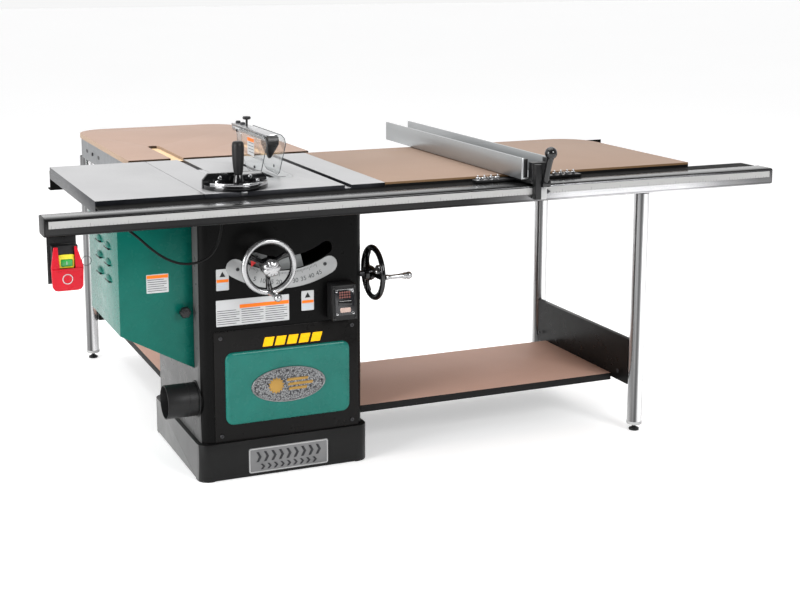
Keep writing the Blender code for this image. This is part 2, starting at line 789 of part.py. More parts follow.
def trunnion_cradle():
    """The tilting carriage: two arc plates, a beam, the tilt gear and the arm's pivot shaft."""
    centre = (TILT_X, TILT_Z)
    pivot = (TILT_X, 0.0, TILT_Z)
    front = (-0.2375, -0.2185)
    cradle = part(
        "trunnion_cradle", plate([band(centre, 0.120, 0.200, -65, 20)], 1, *front), "grey_paint", pivot,
    )
    join(cradle, plate([band(centre, 0.190, 0.270, -4, 14, 4)], 1, *front))
    join(cradle, plate([band(centre, 0.190, 0.270, -27, -13, 4)], 1, *front))
    gear = toothed_band(centre, 0.262, TILT_GEAR_RADIUS, -48, 4, TILT_TEETH)
    join(cradle, plate([gear], 1, -0.2215, -0.1985))
    rear = (0.2095, 0.2255)
    join(cradle, plate([band(centre, 0.120, 0.200, -65, 20)], 1, *rear))
    join(cradle, plate([band(centre, 0.190, 0.270, -4, 14, 4)], 1, *rear))
    join(cradle, block((0.028, -0.230, 0.610), (0.052, 0.218, 0.655)))
    join(cradle, block((0.0285, -0.160, 0.640), (0.0515, -0.108, 0.800)))
    join(cradle, rod((-0.150, *ARM_PIVOT), (0.040, *ARM_PIVOT), 0.010, sides=16))
    join(cradle, block((0.0106, 0.155, 0.700), (0.026, 0.214, 0.740)))
    x, z = RAISE_SHAFT
    cut(cradle, rod((x, -0.25, z), (x, -0.19, z), 0.0092, sides=16))


def arbor_arm():
    """The swinging arm: pivot tube, arbor housing, raise gear and motor plate."""
    pivot = (0.0, *ARM_PIVOT)
    arm = part(
        "arbor_arm", rod((-0.139, *ARM_PIVOT), (0.024, *ARM_PIVOT), 0.017, sides=20), "grey_paint", pivot,
    )
    join(arm, rod((-0.088, *ARBOR), (-0.004, *ARBOR), 0.024, sides=20))
    join(arm, plate([capsule(ARM_PIVOT, ARBOR, 0.021, 0.021)], 0, -0.062, -0.034))
    gear = toothed_band(ARM_PIVOT, 0.014, RAISE_GEAR_RADIUS, -37, 5, RAISE_TEETH)
    join(arm, plate([gear], 0, -0.080, -0.066))
    join(arm, plate([capsule(ARM_PIVOT, MOTOR_AXIS, 0.022, 0.058)], 0, -0.139, -0.131))
    cut(arm, rod((-0.16, *ARM_PIVOT), (0.04, *ARM_PIVOT), 0.0108, sides=20))
    cut(arm, rod((-0.10, *ARBOR), (0.01, *ARBOR), 0.0092, sides=20))
    cut(arm, rod((-0.15, *MOTOR_AXIS), (-0.12, *MOTOR_AXIS), 0.018, sides=20))


def motor():
    left = -0.385
    right = -0.1395
    y, z = MOTOR_AXIS
    body = part(
        "motor", rod((left + 0.03, y, z), (right - 0.03, y, z), MOTOR_RADIUS - 0.003, sides=28),
        "black_paint", (0.0, y, z),
    )
    join(body, rod((right - 0.032, y, z), (right, y, z), MOTOR_RADIUS - 0.006, 0.060, sides=28))
    join(body, rod((left, y, z), (left + 0.032, y, z), 0.070, MOTOR_RADIUS, sides=28))
    join(body, block((-0.320, y - 0.035, z + 0.06), (-0.235, y + 0.035, z + 0.105)))


def drive_belt():
    """A banded belt round both pulleys."""
    clear = 0.0005
    inner = capsule(MOTOR_AXIS, ARBOR, MOTOR_PULLEY_RADIUS + clear, ARBOR_PULLEY_RADIUS + clear, steps=16)
    thick = clear + BELT_THICKNESS
    outer = capsule(MOTOR_AXIS, ARBOR, MOTOR_PULLEY_RADIUS + thick, ARBOR_PULLEY_RADIUS + thick, steps=16)
    part("drive_belt", plate([outer, inner], 0, -0.1245, -0.0935), "rubber")


def arbor():
    """The arbor with its pulley, inner flange, outer washer and nut."""
    shaft = part("arbor", rod((-0.128, *ARBOR), (0.0275, *ARBOR), 0.008, sides=16), "steel", (0.0, *ARBOR))
    join(shaft, rod((PULLEY_SPAN[0], *ARBOR), (PULLEY_SPAN[1], *ARBOR), ARBOR_PULLEY_RADIUS, sides=24))
    blade_left = TILT_X - BLADE_THICKNESS / 2
    blade_right = TILT_X + BLADE_THICKNESS / 2
    join(shaft, rod((-0.0025, *ARBOR), (blade_left - GAP, *ARBOR), 0.022, sides=20))
    join(shaft, rod((blade_right + GAP, *ARBOR), (blade_right + 0.0035, *ARBOR), 0.018, sides=20))
    join(shaft, rod((blade_right + 0.003, *ARBOR), (0.025, *ARBOR), 0.012, sides=6))


def saw_blade():
    teeth = 40
    outline = []
    for i in range(teeth):
        start = 360 * i / teeth
        outline.append(on_circle(ARBOR, BLADE_RADIUS - 0.007, start))
        outline.append(on_circle(ARBOR, BLADE_RADIUS - 0.0015, start + 5.5))
        outline.append(on_circle(ARBOR, BLADE_RADIUS, start + 8.3))
    hole = arc(ARBOR, 0.0086, 0, 345, 23)
    half = BLADE_THICKNESS / 2
    part("saw_blade", plate([outline, hole], 0, TILT_X - half, TILT_X + half), "steel", (0.0, *ARBOR))


def motor_pulley():
    rotor = part(
        "motor_pulley",
        rod((PULLEY_SPAN[0], *MOTOR_AXIS), (PULLEY_SPAN[1], *MOTOR_AXIS), MOTOR_PULLEY_RADIUS, sides=24),
        "steel", (0.0, *MOTOR_AXIS),
    )
    join(rotor, rod((-0.1390, *MOTOR_AXIS), (PULLEY_SPAN[0] + 0.005, *MOTOR_AXIS), 0.011, sides=16))


# ---------------------------------------------------------------- handwheels


def wheel_shape(name, place, look_name, rim_radius, first_spoke):
    """A handwheel: rim, dished hub and spokes. place(distance, across, up) gives a point."""
    centre = Vector(place(0.0, 0.0, 0.0))
    out = (Vector(place(1.0, 0.0, 0.0)) - centre).normalized()
    wheel = part(name, ring(centre, out, rim_radius, RIM_TUBE), look_name, tuple(centre))
    join(wheel, rod(place(-0.030, 0, 0), place(0.004, 0, 0), 0.021, 0.018, sides=18))
    for i in range(WHEEL_SPOKES):
        angle = math.radians(first_spoke + 360 * i / WHEEL_SPOKES)
        across = math.cos(angle)
        up = math.sin(angle)
        reach = rim_radius - 0.003
        join(wheel, rod(
            place(-0.012, 0.012 * across, 0.012 * up), place(0.0, reach * across, reach * up),
            0.0090, 0.0065, sides=10,
        ))
    return wheel


def wheel_handle(name, base, direction, length):
    """A turned handle with a ball end, free to spin on the rim."""
    profile = [(0.0, length), (0.006, length - 0.001), (0.0105, length - 0.006), (0.012, length - 0.012)]
    profile += [(0.0105, length - 0.018), (0.0065, length - 0.025), (0.0060, length * 0.55)]
    profile += [(0.0085, 0.010), (0.0085, 0.0), (0.0, 0.0)]
    part(name, turned(profile, base, direction, steps=14), "chrome", base)


def raise_place(out, across, up):
    return (RAISE_SHAFT[0] + across, RAISE_RIM_Y - out, RAISE_SHAFT[1] + up)


def tilt_place(out, across, up):
    return (TILT_RIM_X + out, TILT_SHAFT[0] + across, TILT_SHAFT[1] + up)


def raise_wheel():
    wheel_shape("raise_wheel", raise_place, "chrome", RAISE_RIM_RADIUS, -90)
    x, z = RAISE_SHAFT
    back = RAISE_RIM_Y + 0.030 + GAP
    shaft = part("raise_shaft", rod((x, back, z), (x, -0.155, z), 0.008, sides=16), "steel", (x, 0.0, z))
    join(shaft, rod((x, -0.160, z), (x, -0.108, z), 0.012, sides=16))
    base = raise_place(RIM_TUBE + GAP, 0.0, -RAISE_RIM_RADIUS)
    wheel_handle("raise_handle", base, (0, -1, 0), 0.078)


def raise_lock_knob():
    x, z = RAISE_SHAFT
    start = RAISE_RIM_Y - 0.004 - GAP
    knob = part(
        "raise_lock_knob", plate([star((x, z), 0.024, 8, 0.14)], 1, start - 0.030, start - 0.012),
        "chrome", (x, start, z),
    )
    join(knob, rod((x, start - 0.014, z), (x, start, z), 0.009, 0.010, sides=14))
    join(knob, rod((x, start - 0.034, z), (x, start - 0.029, z), 0.010, 0.018, sides=14))


def tilt_wheel():
    """The tilt handwheel with its shaft and worm in one piece."""
    wheel = wheel_shape("tilt_wheel", tilt_place, "black_plastic", TILT_RIM_RADIUS, 180)
    join(wheel, rod((-0.012, *TILT_SHAFT), (TILT_RIM_X - 0.02, *TILT_SHAFT), 0.009, sides=16))
    join(wheel, rod((-0.011, *TILT_SHAFT), (0.029, *TILT_SHAFT), 0.014, sides=16))
    base = tilt_place(RIM_TUBE + GAP, -TILT_RIM_RADIUS, 0.0)
    wheel_handle("tilt_handle", base, (1, 0, 0), 0.087)


def tilt_lock_knob():
    y, z = TILT_SHAFT
    start = TILT_RIM_X + 0.004 + GAP
    knob = part(
        "tilt_lock_knob", plate([star((y, z), 0.022, 8, 0.14)], 0, start + 0.010, start + 0.026),
        "chrome", (start, y, z),
    )
    join(knob, rod((start, y, z), (start + 0.012, y, z), 0.010, 0.009, sides=14))


# ---------------------------------------------------------------- splitter and guard


def splitter():
    outline = [
        (0.150, 0.700), (0.174, 0.700), (0.174, 0.876), (0.198, 0.893), (0.198, GUARD_BOTTOM - GAP),
        (0.150, GUARD_BOTTOM - GAP),
    ]
    half = 0.0011
    plate_obj = part(
        "splitter", plate([outline], 0, TILT_X - half, TILT_X + half), "steel", (TILT_X, 0.0, TILT_Z),
    )
    cut(plate_obj, rod((0.0, *PAWL_PIVOT), (0.02, *PAWL_PIVOT), 0.004, sides=12))


def kickback_pawls():
    """Two toothed pawls on one pin through the splitter."""
    y, z = PAWL_PIVOT
    outline = [
        (y - 0.008, z + 0.006), (y - 0.002, z + 0.009), (y + 0.008, z + 0.006), (y + 0.009, z - 0.004),
        (y - 0.002, z - 0.026), (y - 0.008, z - 0.022), (y - 0.012, z - 0.029), (y - 0.018, z - 0.020),
    ]
    left = TILT_X - 0.0016
    right = TILT_X + 0.0016
    pawls = part("kickback_pawls", plate([outline], 0, left - 0.0025, left), "steel", (TILT_X, y, z))
    join(pawls, plate([outline], 0, right, right + 0.0025))
    join(pawls, rod((left - 0.004, y, z), (right + 0.004, y, z), 0.003, sides=12))


def guard_arm():
    half = 0.018
    nose = [
        (-0.145, GUARD_TOP), (-0.160, 0.996), (-0.162, 0.976), (-0.128, 0.930), (-0.112, 0.930),
        (-0.100, 0.970), (-0.100, GUARD_TOP - 0.004),
    ]
    arm = part(
        "guard_arm",
        block(
            (TILT_X - half, -0.146, GUARD_BOTTOM), (TILT_X + half, 0.200, GUARD_TOP),
            0.004, along=1, segments=2,
        ),
        "steel", (TILT_X, 0.0, TILT_Z),
    )
    join(arm, plate([nose], 0, TILT_X - half + 0.0005, TILT_X + half - 0.0005))


def shield_outline():
    return [
        (0.124, 1.001), (-0.150, 1.001), (-0.176, 0.994), (-0.188, 0.978), (-0.128, 0.886),
        (-0.112, 0.878), (-0.012, 0.880), (0.010, 0.888), (0.060, 0.928),
    ]


def shields():
    thick = 0.0025
    for name, x in (("shield_left", -0.0215), ("shield_right", 0.0370)):
        part(name, plate([shield_outline()], 0, x, x + thick), "clear_plastic", (x, *SHIELD_PIVOT))


def shield_link():
    """The short link that lifts the left shield as the guard leans towards the table."""
    link = part(
        "shield_link", plate([capsule(SHIELD_PIVOT, LINK_PIVOT, 0.007)], 0, -0.0155, -0.0125),
        "steel", (-0.014, *LINK_PIVOT),
    )
    join(link, rod((-0.013, *LINK_PIVOT), (TILT_X - 0.018 - GAP, *LINK_PIVOT), 0.004, sides=12))
    join(link, rod((-0.0190 + GAP, *SHIELD_PIVOT), (-0.015, *SHIELD_PIVOT), 0.004, sides=12))


def guard_knob():
    y = 0.096
    base = GUARD_TOP + GAP
    knob = part(
        "guard_knob", rod((TILT_X, y, base), (TILT_X, y, base + 0.022), 0.0035, sides=10),
        "black_plastic", (TILT_X, y, base),
    )
    join(knob, plate([star((TILT_X, y), 0.013, 5, 0.25)], 2, base + 0.020, base + 0.030))


# ---------------------------------------------------------------- fence


def fence_channel():
    wall = 0.007
    channel = part(
        "fence_channel",
        block((FENCE_LEFT, FENCE_FRONT, FENCE_BOTTOM), (FENCE_RIGHT, FENCE_BACK, FENCE_TOP)),
        "aluminium",
    )
    cut(channel, block(
        (FENCE_LEFT + wall, FENCE_FRONT - 0.01, FENCE_BOTTOM + 0.006),
        (FENCE_RIGHT - wall, FENCE_BACK + 0.01, FENCE_TOP + 0.01),
    ))


def fence_head():
    """The T-square: crossbar behind the rail, bridge over it, and the clamp plates in front."""
    low = RAIL_TOP + GAP
    top = FENCE_BOTTOM - GAP
    front = RAIL_FRONT - 0.0013
    head = part("fence_head", block((0.553, -0.412, low), (0.912, -0.385, low + 0.008)), "black_paint")
    join(head, block((0.685, -0.506, low + 0.004), (0.741, -0.373, top)))
    join(head, block((0.692, -0.522, 0.821), (0.711, front, 0.925)))
    join(head, block((0.705, -0.507, 0.819), (0.737, front, top - 0.001)))
    join(head, block((0.690, -0.506, top - 0.002), (0.740, FENCE_FRONT - GAP, 0.928)))


def fence_lever():
    x = 0.724
    y, z = LEVER_PIVOT
    ball = (x, -0.5500, 0.961)
    foot = Vector((x, y, z))
    run = Vector(ball) - foot
    lever = part(
        "fence_lever", rod(foot, foot + run * 0.94, 0.0085, 0.0105, sides=16), "black_plastic", (x, y, z),
    )
    join(lever, rod((0.711 + GAP, y, z), (0.737, y, z), 0.011, sides=16))
    knob = [(0.0, 0.0185), (0.007, 0.017), (0.013, 0.013), (0.017, 0.007), (0.0185, 0.0)]
    knob += [(0.017, -0.007), (0.013, -0.013), (0.007, -0.017), (0.0, -0.0185)]
    join(lever, turned(knob, ball, run, steps=18))


# ---------------------------------------------------------------- miter gauge


def miter_bar():
    half = SLOT_WIDTH / 2 - GAP
    x = MITER_PIVOT[0]
    part("miter_bar", block((x - half, -0.354, 0.8652), (x + half, 0.098, TABLE_TOP - GAP)), "steel")


def miter_head():
    x, y = MITER_PIVOT
    low = TABLE_TOP + GAP
    outline = [(x + 0.094, y + 0.006), (x - 0.094, y + 0.006)]
    outline += arc((x, y), MITER_RADIUS, 180, 360, 18)
    head = part("miter_head", plate([outline], 2, low, low + 0.012), "black_paint", (x, y, 0.0))
    face = [(x - 0.095, low), (x + 0.095, low), (x + 0.095, low + 0.024), (x + 0.079, low + 0.042)]
    face += [(x - 0.079, low + 0.042), (x - 0.095, low + 0.024)]
    join(head, plate([face], 1, y + 0.003, y + 0.016))
    rim = arc((x, y), MITER_RADIUS, 205, 335, 14) + arc((x, y), MITER_RADIUS - 0.010, 335, 205, 14)
    join(head, plate([rim], 2, low + 0.010, low + 0.022))
    join(head, rod((x, y - 0.030, low + 0.011), (x, y - 0.030, 0.915), 0.016, 0.012, sides=18))


def miter_handle():
    x, y = MITER_PIVOT
    y -= 0.030
    base = 0.915 + GAP
    profile = [(0.0, 1.010), (0.013, 1.0095), (0.0165, 1.005), (0.0175, 0.985), (0.0165, 0.955)]
    profile += [(0.0135, 0.925), (0.0120, base), (0.0, base)]
    part("miter_handle", turned(profile, (x, y, 0.0), (0, 0, 1), steps=18), "black_plastic", (x, y, base))


# ---------------------------------------------------------------- switch and cord


def switch_box():
    back = -0.4635
    box = part(
        "switch_box", block((SWITCH_LEFT, SWITCH_FACE, 0.690), (SWITCH_RIGHT, back, 0.787)), "black_plastic",
    )
    under = RAIL_BOTTOM - GAP
    join(box, block((-0.714, back - 0.0005, 0.683), (-0.638, back + 0.0025, under)))
    join(box, block((-0.714, back, under - 0.003), (-0.638, -0.430, under)))
    cut(box, block((-0.6845, SWITCH_FACE - 0.01, 0.7325), (-0.6545, SWITCH_FACE + 0.010, 0.7515)))


def start_button():
    part("start_button", block(
        (-0.6840, SWITCH_FACE - 0.0060, 0.7330), (-0.6550, SWITCH_FACE + 0.0060, 0.7510),
        0.003, along=1, segments=2,
    ), "green_plastic", (-0.6695, SWITCH_FACE, 0.742))


def stop_paddle():
    left = -0.711
    right = -0.628
    outer = [
        (left + 0.008, 0.786), (left, 0.733), (left + 0.002, 0.681), (left + 0.008, 0.672),
        (left + 0.016, 0.670), (right - 0.016, 0.670), (right - 0.007, 0.673), (right - 0.002, 0.681),
        (right, 0.733), (right - 0.016, 0.786), (right - 0.022, 0.786), (-0.648, 0.728), (-0.689, 0.728),
        (left + 0.018, 0.786),
    ]
    part("stop_paddle", plate([outer], 1, SWITCH_FACE - 0.013, SWITCH_FACE - 0.007), "red_plastic",
         (-0.670, SWITCH_FACE - 0.010, 0.783))


def switch_cord():
    route = [(x, CORD_Y, z) for x, z in CORD_ROUTE]
    part("switch_cord", tube_along(smooth_route(route, 0.010), CORD_RADIUS), "rubber")


# ---------------------------------------------------------------- the whole saw

clear_scene()
parts = new_collection(OBJECT_NAME)
cutters = new_collection("cutters")

base_plinth()
cabinet()
lower_front_panel()
dust_port()
control_box()
motor_cover()
cover_knob()
main_table()
left_wing()
table_insert()
extension_table()
outfeed_table()
outfeed_apron()
front_rail()
front_rail_angle()
rear_rail_angle()
legs_and_feet()
end_panels()
shelves()
trunnion_frame()
trunnion_cradle()
arbor_arm()
motor()
drive_belt()
arbor()
saw_blade()
motor_pulley()
raise_wheel()
raise_lock_knob()
tilt_wheel()
tilt_lock_knob()
splitter()
kickback_pawls()
guard_arm()
shields()
shield_link()
guard_knob()
fence_channel()
fence_head()
fence_lever()
miter_bar()
miter_head()
miter_handle()
switch_box()
start_button()
stop_paddle()
switch_cord()
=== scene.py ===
"""Looks of the cabinet table saw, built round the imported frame. Metres, +Z up, in the row frame."""

import math

import bmesh
import bpy
from mathutils import Matrix, Vector


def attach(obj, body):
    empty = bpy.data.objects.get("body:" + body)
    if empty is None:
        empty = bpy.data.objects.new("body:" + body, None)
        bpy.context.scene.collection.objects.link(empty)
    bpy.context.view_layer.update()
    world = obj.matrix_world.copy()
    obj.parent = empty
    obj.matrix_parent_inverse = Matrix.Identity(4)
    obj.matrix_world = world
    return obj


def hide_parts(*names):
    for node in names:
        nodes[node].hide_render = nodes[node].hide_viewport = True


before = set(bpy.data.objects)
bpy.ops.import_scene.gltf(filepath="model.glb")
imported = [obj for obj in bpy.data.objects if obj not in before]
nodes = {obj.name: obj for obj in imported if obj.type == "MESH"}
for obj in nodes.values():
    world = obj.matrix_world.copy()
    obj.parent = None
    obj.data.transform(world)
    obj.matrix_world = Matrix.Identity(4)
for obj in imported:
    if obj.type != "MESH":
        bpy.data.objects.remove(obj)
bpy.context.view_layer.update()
X, Y, Z = Vector((1, 0, 0)), Vector((0, 1, 0)), Vector((0, 0, 1))

# ---------------------------------------------------------------- camera

camera = bpy.data.objects.new("camera", bpy.data.cameras.new("camera"))
bpy.context.scene.collection.objects.link(camera)
bpy.context.scene.camera = camera
camera.location = (-1.3139, -4.0804, 1.5166)
camera.rotation_euler = (math.pi / 2 - 0.17830, 0.0, -0.39789)
camera.data.lens = 63.354
camera.data.sensor_width = 36.0
camera.data.shift_x = 0.0316
camera.data.shift_y = -0.11
camera.data.clip_end = 100.0
bpy.context.scene.view_settings.view_transform = "Standard"


# ---------------------------------------------------------------- shapes


def block(low, high):
    shape = bmesh.new()
    bmesh.ops.create_cube(shape, size=1.0)
    low, high = Vector(low), Vector(high)
    bmesh.ops.scale(shape, vec=high - low, verts=shape.verts)
    bmesh.ops.translate(shape, vec=(high + low) / 2, verts=shape.verts)
    return shape


def skin(rows, closed=False):
    """A surface over rows of points, each row a closed loop."""
    shape = bmesh.new()
    made = [[shape.verts.new(p) for p in row] for row in rows]
    for row, after in zip(made, made[1:] + (made[:1] if closed else [])):
        for i in range(len(row)):
            j = (i + 1) % len(row)
            shape.faces.new((row[i], row[j], after[j], after[i]))
    if not closed:
        shape.faces.new(made[0])
        shape.faces.new(made[-1])
    bmesh.ops.recalc_face_normals(shape, faces=shape.faces)
    return shape


def circle(sides):
    """(cosine, sine) pairs evenly round a circle."""
    turns = [2 * math.pi * i / sides for i in range(sides)]
    return [(math.cos(turn), math.sin(turn)) for turn in turns]


def turned(profile, base, direction, sides=40):
    """A turned solid from (radius, height) pairs, with no point on the axis."""
    turn = Z.rotation_difference(Vector(direction)).to_matrix()
    base = Vector(base)
    rows = []
    for radius, height in profile:
        radius = max(radius, 0.00004)
        rows.append([base + turn @ Vector((radius * c, radius * s, height)) for c, s in circle(sides)])
    return skin(rows)


def rod(start, end, radius):
    start, end = Vector(start), Vector(end)
    return turned([(radius, 0.0), (radius, (end - start).length)], start, end - start, 28)


def sweep(points, radii, sides=14, closed=False):
    """A round tube along points, with one radius or a list of them."""
    points = [Vector(p) for p in points]
    count = len(points)
    if not isinstance(radii, (list, tuple)):
        radii = [radii] * count
    side = None
    rows = []
    for i, point in enumerate(points):
        before = points[(i - 1) % count] if closed or i else point
        after = points[(i + 1) % count] if closed or i < count - 1 else point
        along = (after - before).normalized()
        if side is None:
            side = along.orthogonal().normalized()
        side = (side - along * side.dot(along)).normalized()
        other = along.cross(side)
        rows.append([point + radii[i] * (side * c + other * s) for c, s in circle(sides)])
    return skin(rows, closed=closed)


def ring(centre, direction, major, minor, around=72, across=16):
    turn = Z.rotation_difference(Vector(direction)).to_matrix()
    path = [Vector(centre) + turn @ Vector((major * c, major * s, 0)) for c, s in circle(around)]
    return sweep(path, minor, across, closed=True)


def place(axis, u, v, w):
    """A point from in-plane (u, v) and w along the axis: (y, z) along X, (x, z) along Y, (x, y) along Z."""
    return {0: Vector((w, u, v)), 1: Vector((u, w, v)), 2: Vector((u, v, w))}[axis]


def plate(outline, axis, low, high):
    return skin([[place(axis, u, v, w) for u, v in outline] for w in (low, high)])


def on_circle(centre, radius, angle):
    turn = math.radians(angle)
    return (centre[0] + radius * math.cos(turn), centre[1] + radius * math.sin(turn))


def arc(centre, radius, start, end, steps):
    return [on_circle(centre, radius, start + (end - start) * i / steps) for i in range(steps + 1)]


def rounded(low, high, radius, steps=6):
    """A rectangle with round corners."""
    (a, b), (c, d) = low, high
    points = arc((c - radius, d - radius), radius, 0, 90, steps)
    points += arc((a + radius, d - radius), radius, 90, 180, steps)
    points += arc((a + radius, b + radius), radius, 180, 270, steps)
    return points + arc((c - radius, b + radius), radius, 270, 360, steps)


def lobed(centre, radius, lobes, depth, per_lobe=10):
    total = lobes * per_lobe
    points = []
    for i in range(total):
        angle = 2 * math.pi * i / total
        reach = radius * (1 - depth + depth * abs(math.cos(lobes * angle / 2)) ** 0.6)
        points.append((centre[0] + reach * math.cos(angle), centre[1] + reach * math.sin(angle)))
    return points


def stacked(outline, centre, axis, levels):
    """An outline scaled about its centre at several heights: (scale, height) pairs."""
    rows = []
    for scale, height in levels:
        rows.append([
            place(axis, centre[0] + (u - centre[0]) * scale, centre[1] + (v - centre[1]) * scale, height)
            for u, v in outline
        ])
    return skin(rows)


def merged(*shapes):
    whole = bmesh.new()
    for shape in shapes:
        mesh = bpy.data.meshes.new("part")
        shape.to_mesh(mesh)
        shape.free()
        whole.from_mesh(mesh)
        bpy.data.meshes.remove(mesh)
    return whole


# ---------------------------------------------------------------- surfaces


class Graph:
    """A short way to add nodes to a material."""

    def __init__(self, name):
        self.material = bpy.data.materials.new(name)
        self.material.use_nodes = True
        self.tree = self.material.node_tree
        self.shader = self.tree.nodes["Principled BSDF"]
        self.where = self.tree.nodes.new("ShaderNodeTexCoord")

    def link(self, out, into):
        self.tree.links.new(out, into)

    def add(self, kind, links=(), **values):
        """A new node, with (input, output) links and input values, whose names have _ for a space."""
        node = self.tree.nodes.new("ShaderNode" + kind)
        for name, value in values.items():
            node.inputs[name.replace("_", " ")].default_value = value
        for name, out in links:
            self.link(out, node.inputs[name])
        return node

    def put(self, out, name):
        """Links an output to the shader."""
        self.link(out, self.shader.inputs[name])

    def set(self, name, value):
        self.shader.inputs[name].default_value = value

    def noise(self, scale, stretch=(1, 1, 1), detail=4.0):
        mapping = self.add("Mapping", [("Vector", self.where.outputs["Object"])], Scale=stretch)
        texture = self.add("TexNoise", [("Vector", mapping.outputs["Vector"])], Scale=scale, Detail=detail)
        return texture.outputs["Fac"]

    def ramp(self, factor, low, high, start=0.3, end=0.7):
        node = self.add("ValToRGB", [("Fac", factor)])
        for element, position, colour in zip(node.color_ramp.elements, (start, end), (low, high)):
            element.position = position
            element.color = (*colour, 1)
        return node.outputs["Color"]

    def stops(self, factor, pairs):
        """A grey ramp through (position, brightness) pairs."""
        node = self.add("ValToRGB", [("Fac", factor)])
        elements = node.color_ramp.elements
        while len(elements) < len(pairs):
            elements.new(0.5)
        for element, (position, level) in zip(elements, pairs):
            element.position = position
            element.color = (level, level, level * 1.01, 1)
        return node.outputs["Color"]

    def along(self, axis, source):
        """One coordinate of the object-space normal or position."""
        return self.add("SeparateXYZ", [("Vector", self.where.outputs[source])]).outputs[axis]

    def remap(self, value, low, high, new_low=0.0, new_high=1.0):
        node = self.add(
            "MapRange", [("Value", value)], From_Min=low, From_Max=high, To_Min=new_low, To_Max=new_high
        )
        return node.outputs["Result"]

    def between(self, axis, low, high, source="Object"):
        """0 to 1 as a coordinate runs from low to high."""
        return self.remap(self.along(axis, source), low, high)

    def span(self, factor, low, high):
        """A noise's middle range, spread from low to high."""
        return self.remap(factor, 0.3, 0.7, low, high)

    def mix(self, factor, first, second, blend="MIX"):
        """Two colours mixed by a factor, which is a link or a plain number."""
        node = self.add("Mix")
        node.data_type = "RGBA"
        node.blend_type = blend
        if isinstance(factor, float):
            node.inputs["Factor"].default_value = factor
        else:
            self.link(factor, node.inputs["Factor"])
        self.link(first, node.inputs["A"])
        self.link(second, node.inputs["B"])
        return node.outputs["Result"]

    def times(self, first, second):
        return self.mix(1.0, first, second, "MULTIPLY")

    def test(self, value, operation, limit):
        node = self.add("Math")
        node.operation = operation
        node.inputs[1].default_value = limit
        self.link(value, node.inputs[0])
        return node.outputs["Value"]

    def above(self, axis, limit, source="Normal"):
        """1 where a coordinate is above a limit."""
        return self.test(self.along(axis, source), "GREATER_THAN", limit)

    def faces(self, axis, limit):
        """1 where the surface faces the low end of an axis."""
        return self.test(self.between(axis, -1.0, 1.0, "Normal"), "LESS_THAN", limit)

    def streaked(self, grain, rough_low, rough_high, strength, metal):
        """Roughness and a shallow bump that follow one grain, on a metal."""
        self.put(self.span(grain, rough_low, rough_high), "Roughness")
        self.bump(grain, strength, 0.0002)
        self.set("Metallic", metal)

    def bump(self, factor, strength, distance=0.0004):
        node = self.add("Bump", [("Height", factor)], Strength=strength, Distance=distance)
        self.put(node.outputs["Normal"], "Normal")


def tint(colour, amount):
    return tuple(max(0.0, min(1.0, c * (1 + amount))) for c in colour)


def shade(level):
    return (level, level, level)


def surface(name, colour, rough, metal=0.0, spread=0.08, scale=14.0, stretch=(1, 1, 1), grain=900.0,
            grain_stretch=(1, 1, 1), bump=0.06, coat=0.0, rough_spread=0.04, specular=0.5):
    """A finish with drifting tone, drifting roughness and a fine surface grain."""
    graph = Graph(name)
    tone = graph.noise(scale, stretch)
    graph.put(graph.ramp(tone, tint(colour, -spread), tint(colour, spread)), "Base Color")
    smear = graph.noise(scale * 2.3, stretch)
    graph.put(graph.span(smear, max(0.02, rough - rough_spread), rough + rough_spread), "Roughness")
    graph.bump(graph.noise(grain, grain_stretch, 3.0), bump)
    graph.set("Metallic", metal)
    graph.set("Coat Weight", coat)
    graph.set("Coat Roughness", 0.08)
    graph.set("Specular IOR Level", specular)
    return graph.material


def iron_surface():
    """Ground iron on top, with grinding lines front to back, and dark painted sides and ribs."""
    graph = Graph("ground_iron")
    lines = graph.noise(700.0, (1, 0.03, 1), 4.0)
    ground = graph.ramp(graph.noise(5.0), (0.36, 0.36, 0.365), (0.42, 0.42, 0.425))
    fine = graph.ramp(lines, (0.32, 0.32, 0.33), (0.46, 0.46, 0.465))
    painted = graph.ramp(graph.noise(30.0), (0.008, 0.009, 0.012), (0.016, 0.017, 0.022))
    graph.put(graph.mix(graph.above("Z", 0.7), painted, graph.mix(0.35, ground, fine)), "Base Color")
    graph.streaked(lines, 0.30, 0.42, 0.10, 0.55)
    return graph.material


def rail_surface():
    """Plated tube with a brushed grain, its colour carrying painted reflections: light painted stripes along
    its top, and a front that goes from dark to light along its length.
    """
    graph = Graph("rail_chrome")
    streaks = graph.noise(500.0, (0.02, 1, 1), 4.0)
    # Painted reflection: the front face is dark on the left, light towards the right and darker again at the
    # right end.
    front = graph.stops(graph.between("X", -0.75, 1.60), [
        (0.0, 0.030), (0.15, 0.014), (0.53, 0.020), (0.60, 0.10), (0.67, 0.62), (0.84, 0.66), (0.90, 0.30),
        (0.96, 0.16),
    ])
    # Painted reflection: dark lines near the lower and upper edges of the front face.
    rim = graph.stops(graph.between("Z", 0.812, 0.862), [
        (0.0, 1.0), (0.06, 1.0), (0.10, 0.35), (0.16, 1.0), (0.90, 1.0), (0.96, 0.30),
    ])
    # Painted reflection: light stripes across the top face.
    top = graph.stops(graph.between("Y", -0.500, -0.424), [
        (0.0, 0.02), (0.16, 0.02), (0.24, 0.03), (0.32, 0.15), (0.45, 0.24), (0.60, 0.17), (0.75, 0.11),
        (0.88, 0.07), (1.0, 0.05),
    ])
    # Painted reflection: the top is lighter at the left end.
    lengthwise_painted_reflection = graph.stops(graph.between("X", -0.75, 1.60), [
        (0.0, 1.0), (0.22, 0.95), (0.36, 0.45), (0.55, 0.38), (1.0, 0.55),
    ])
    # The painted reflections go on the front and on the top faces.
    painted_reflection_bands = graph.mix(graph.above("Z", 0.6), graph.times(front, rim), graph.times(top, lengthwise_painted_reflection))
    graph.put(graph.times(painted_reflection_bands, graph.ramp(streaks, shade(0.80), shade(1.0))), "Base Color")
    graph.streaked(streaks, 0.16, 0.26, 0.03, 0.85)
    return graph.material


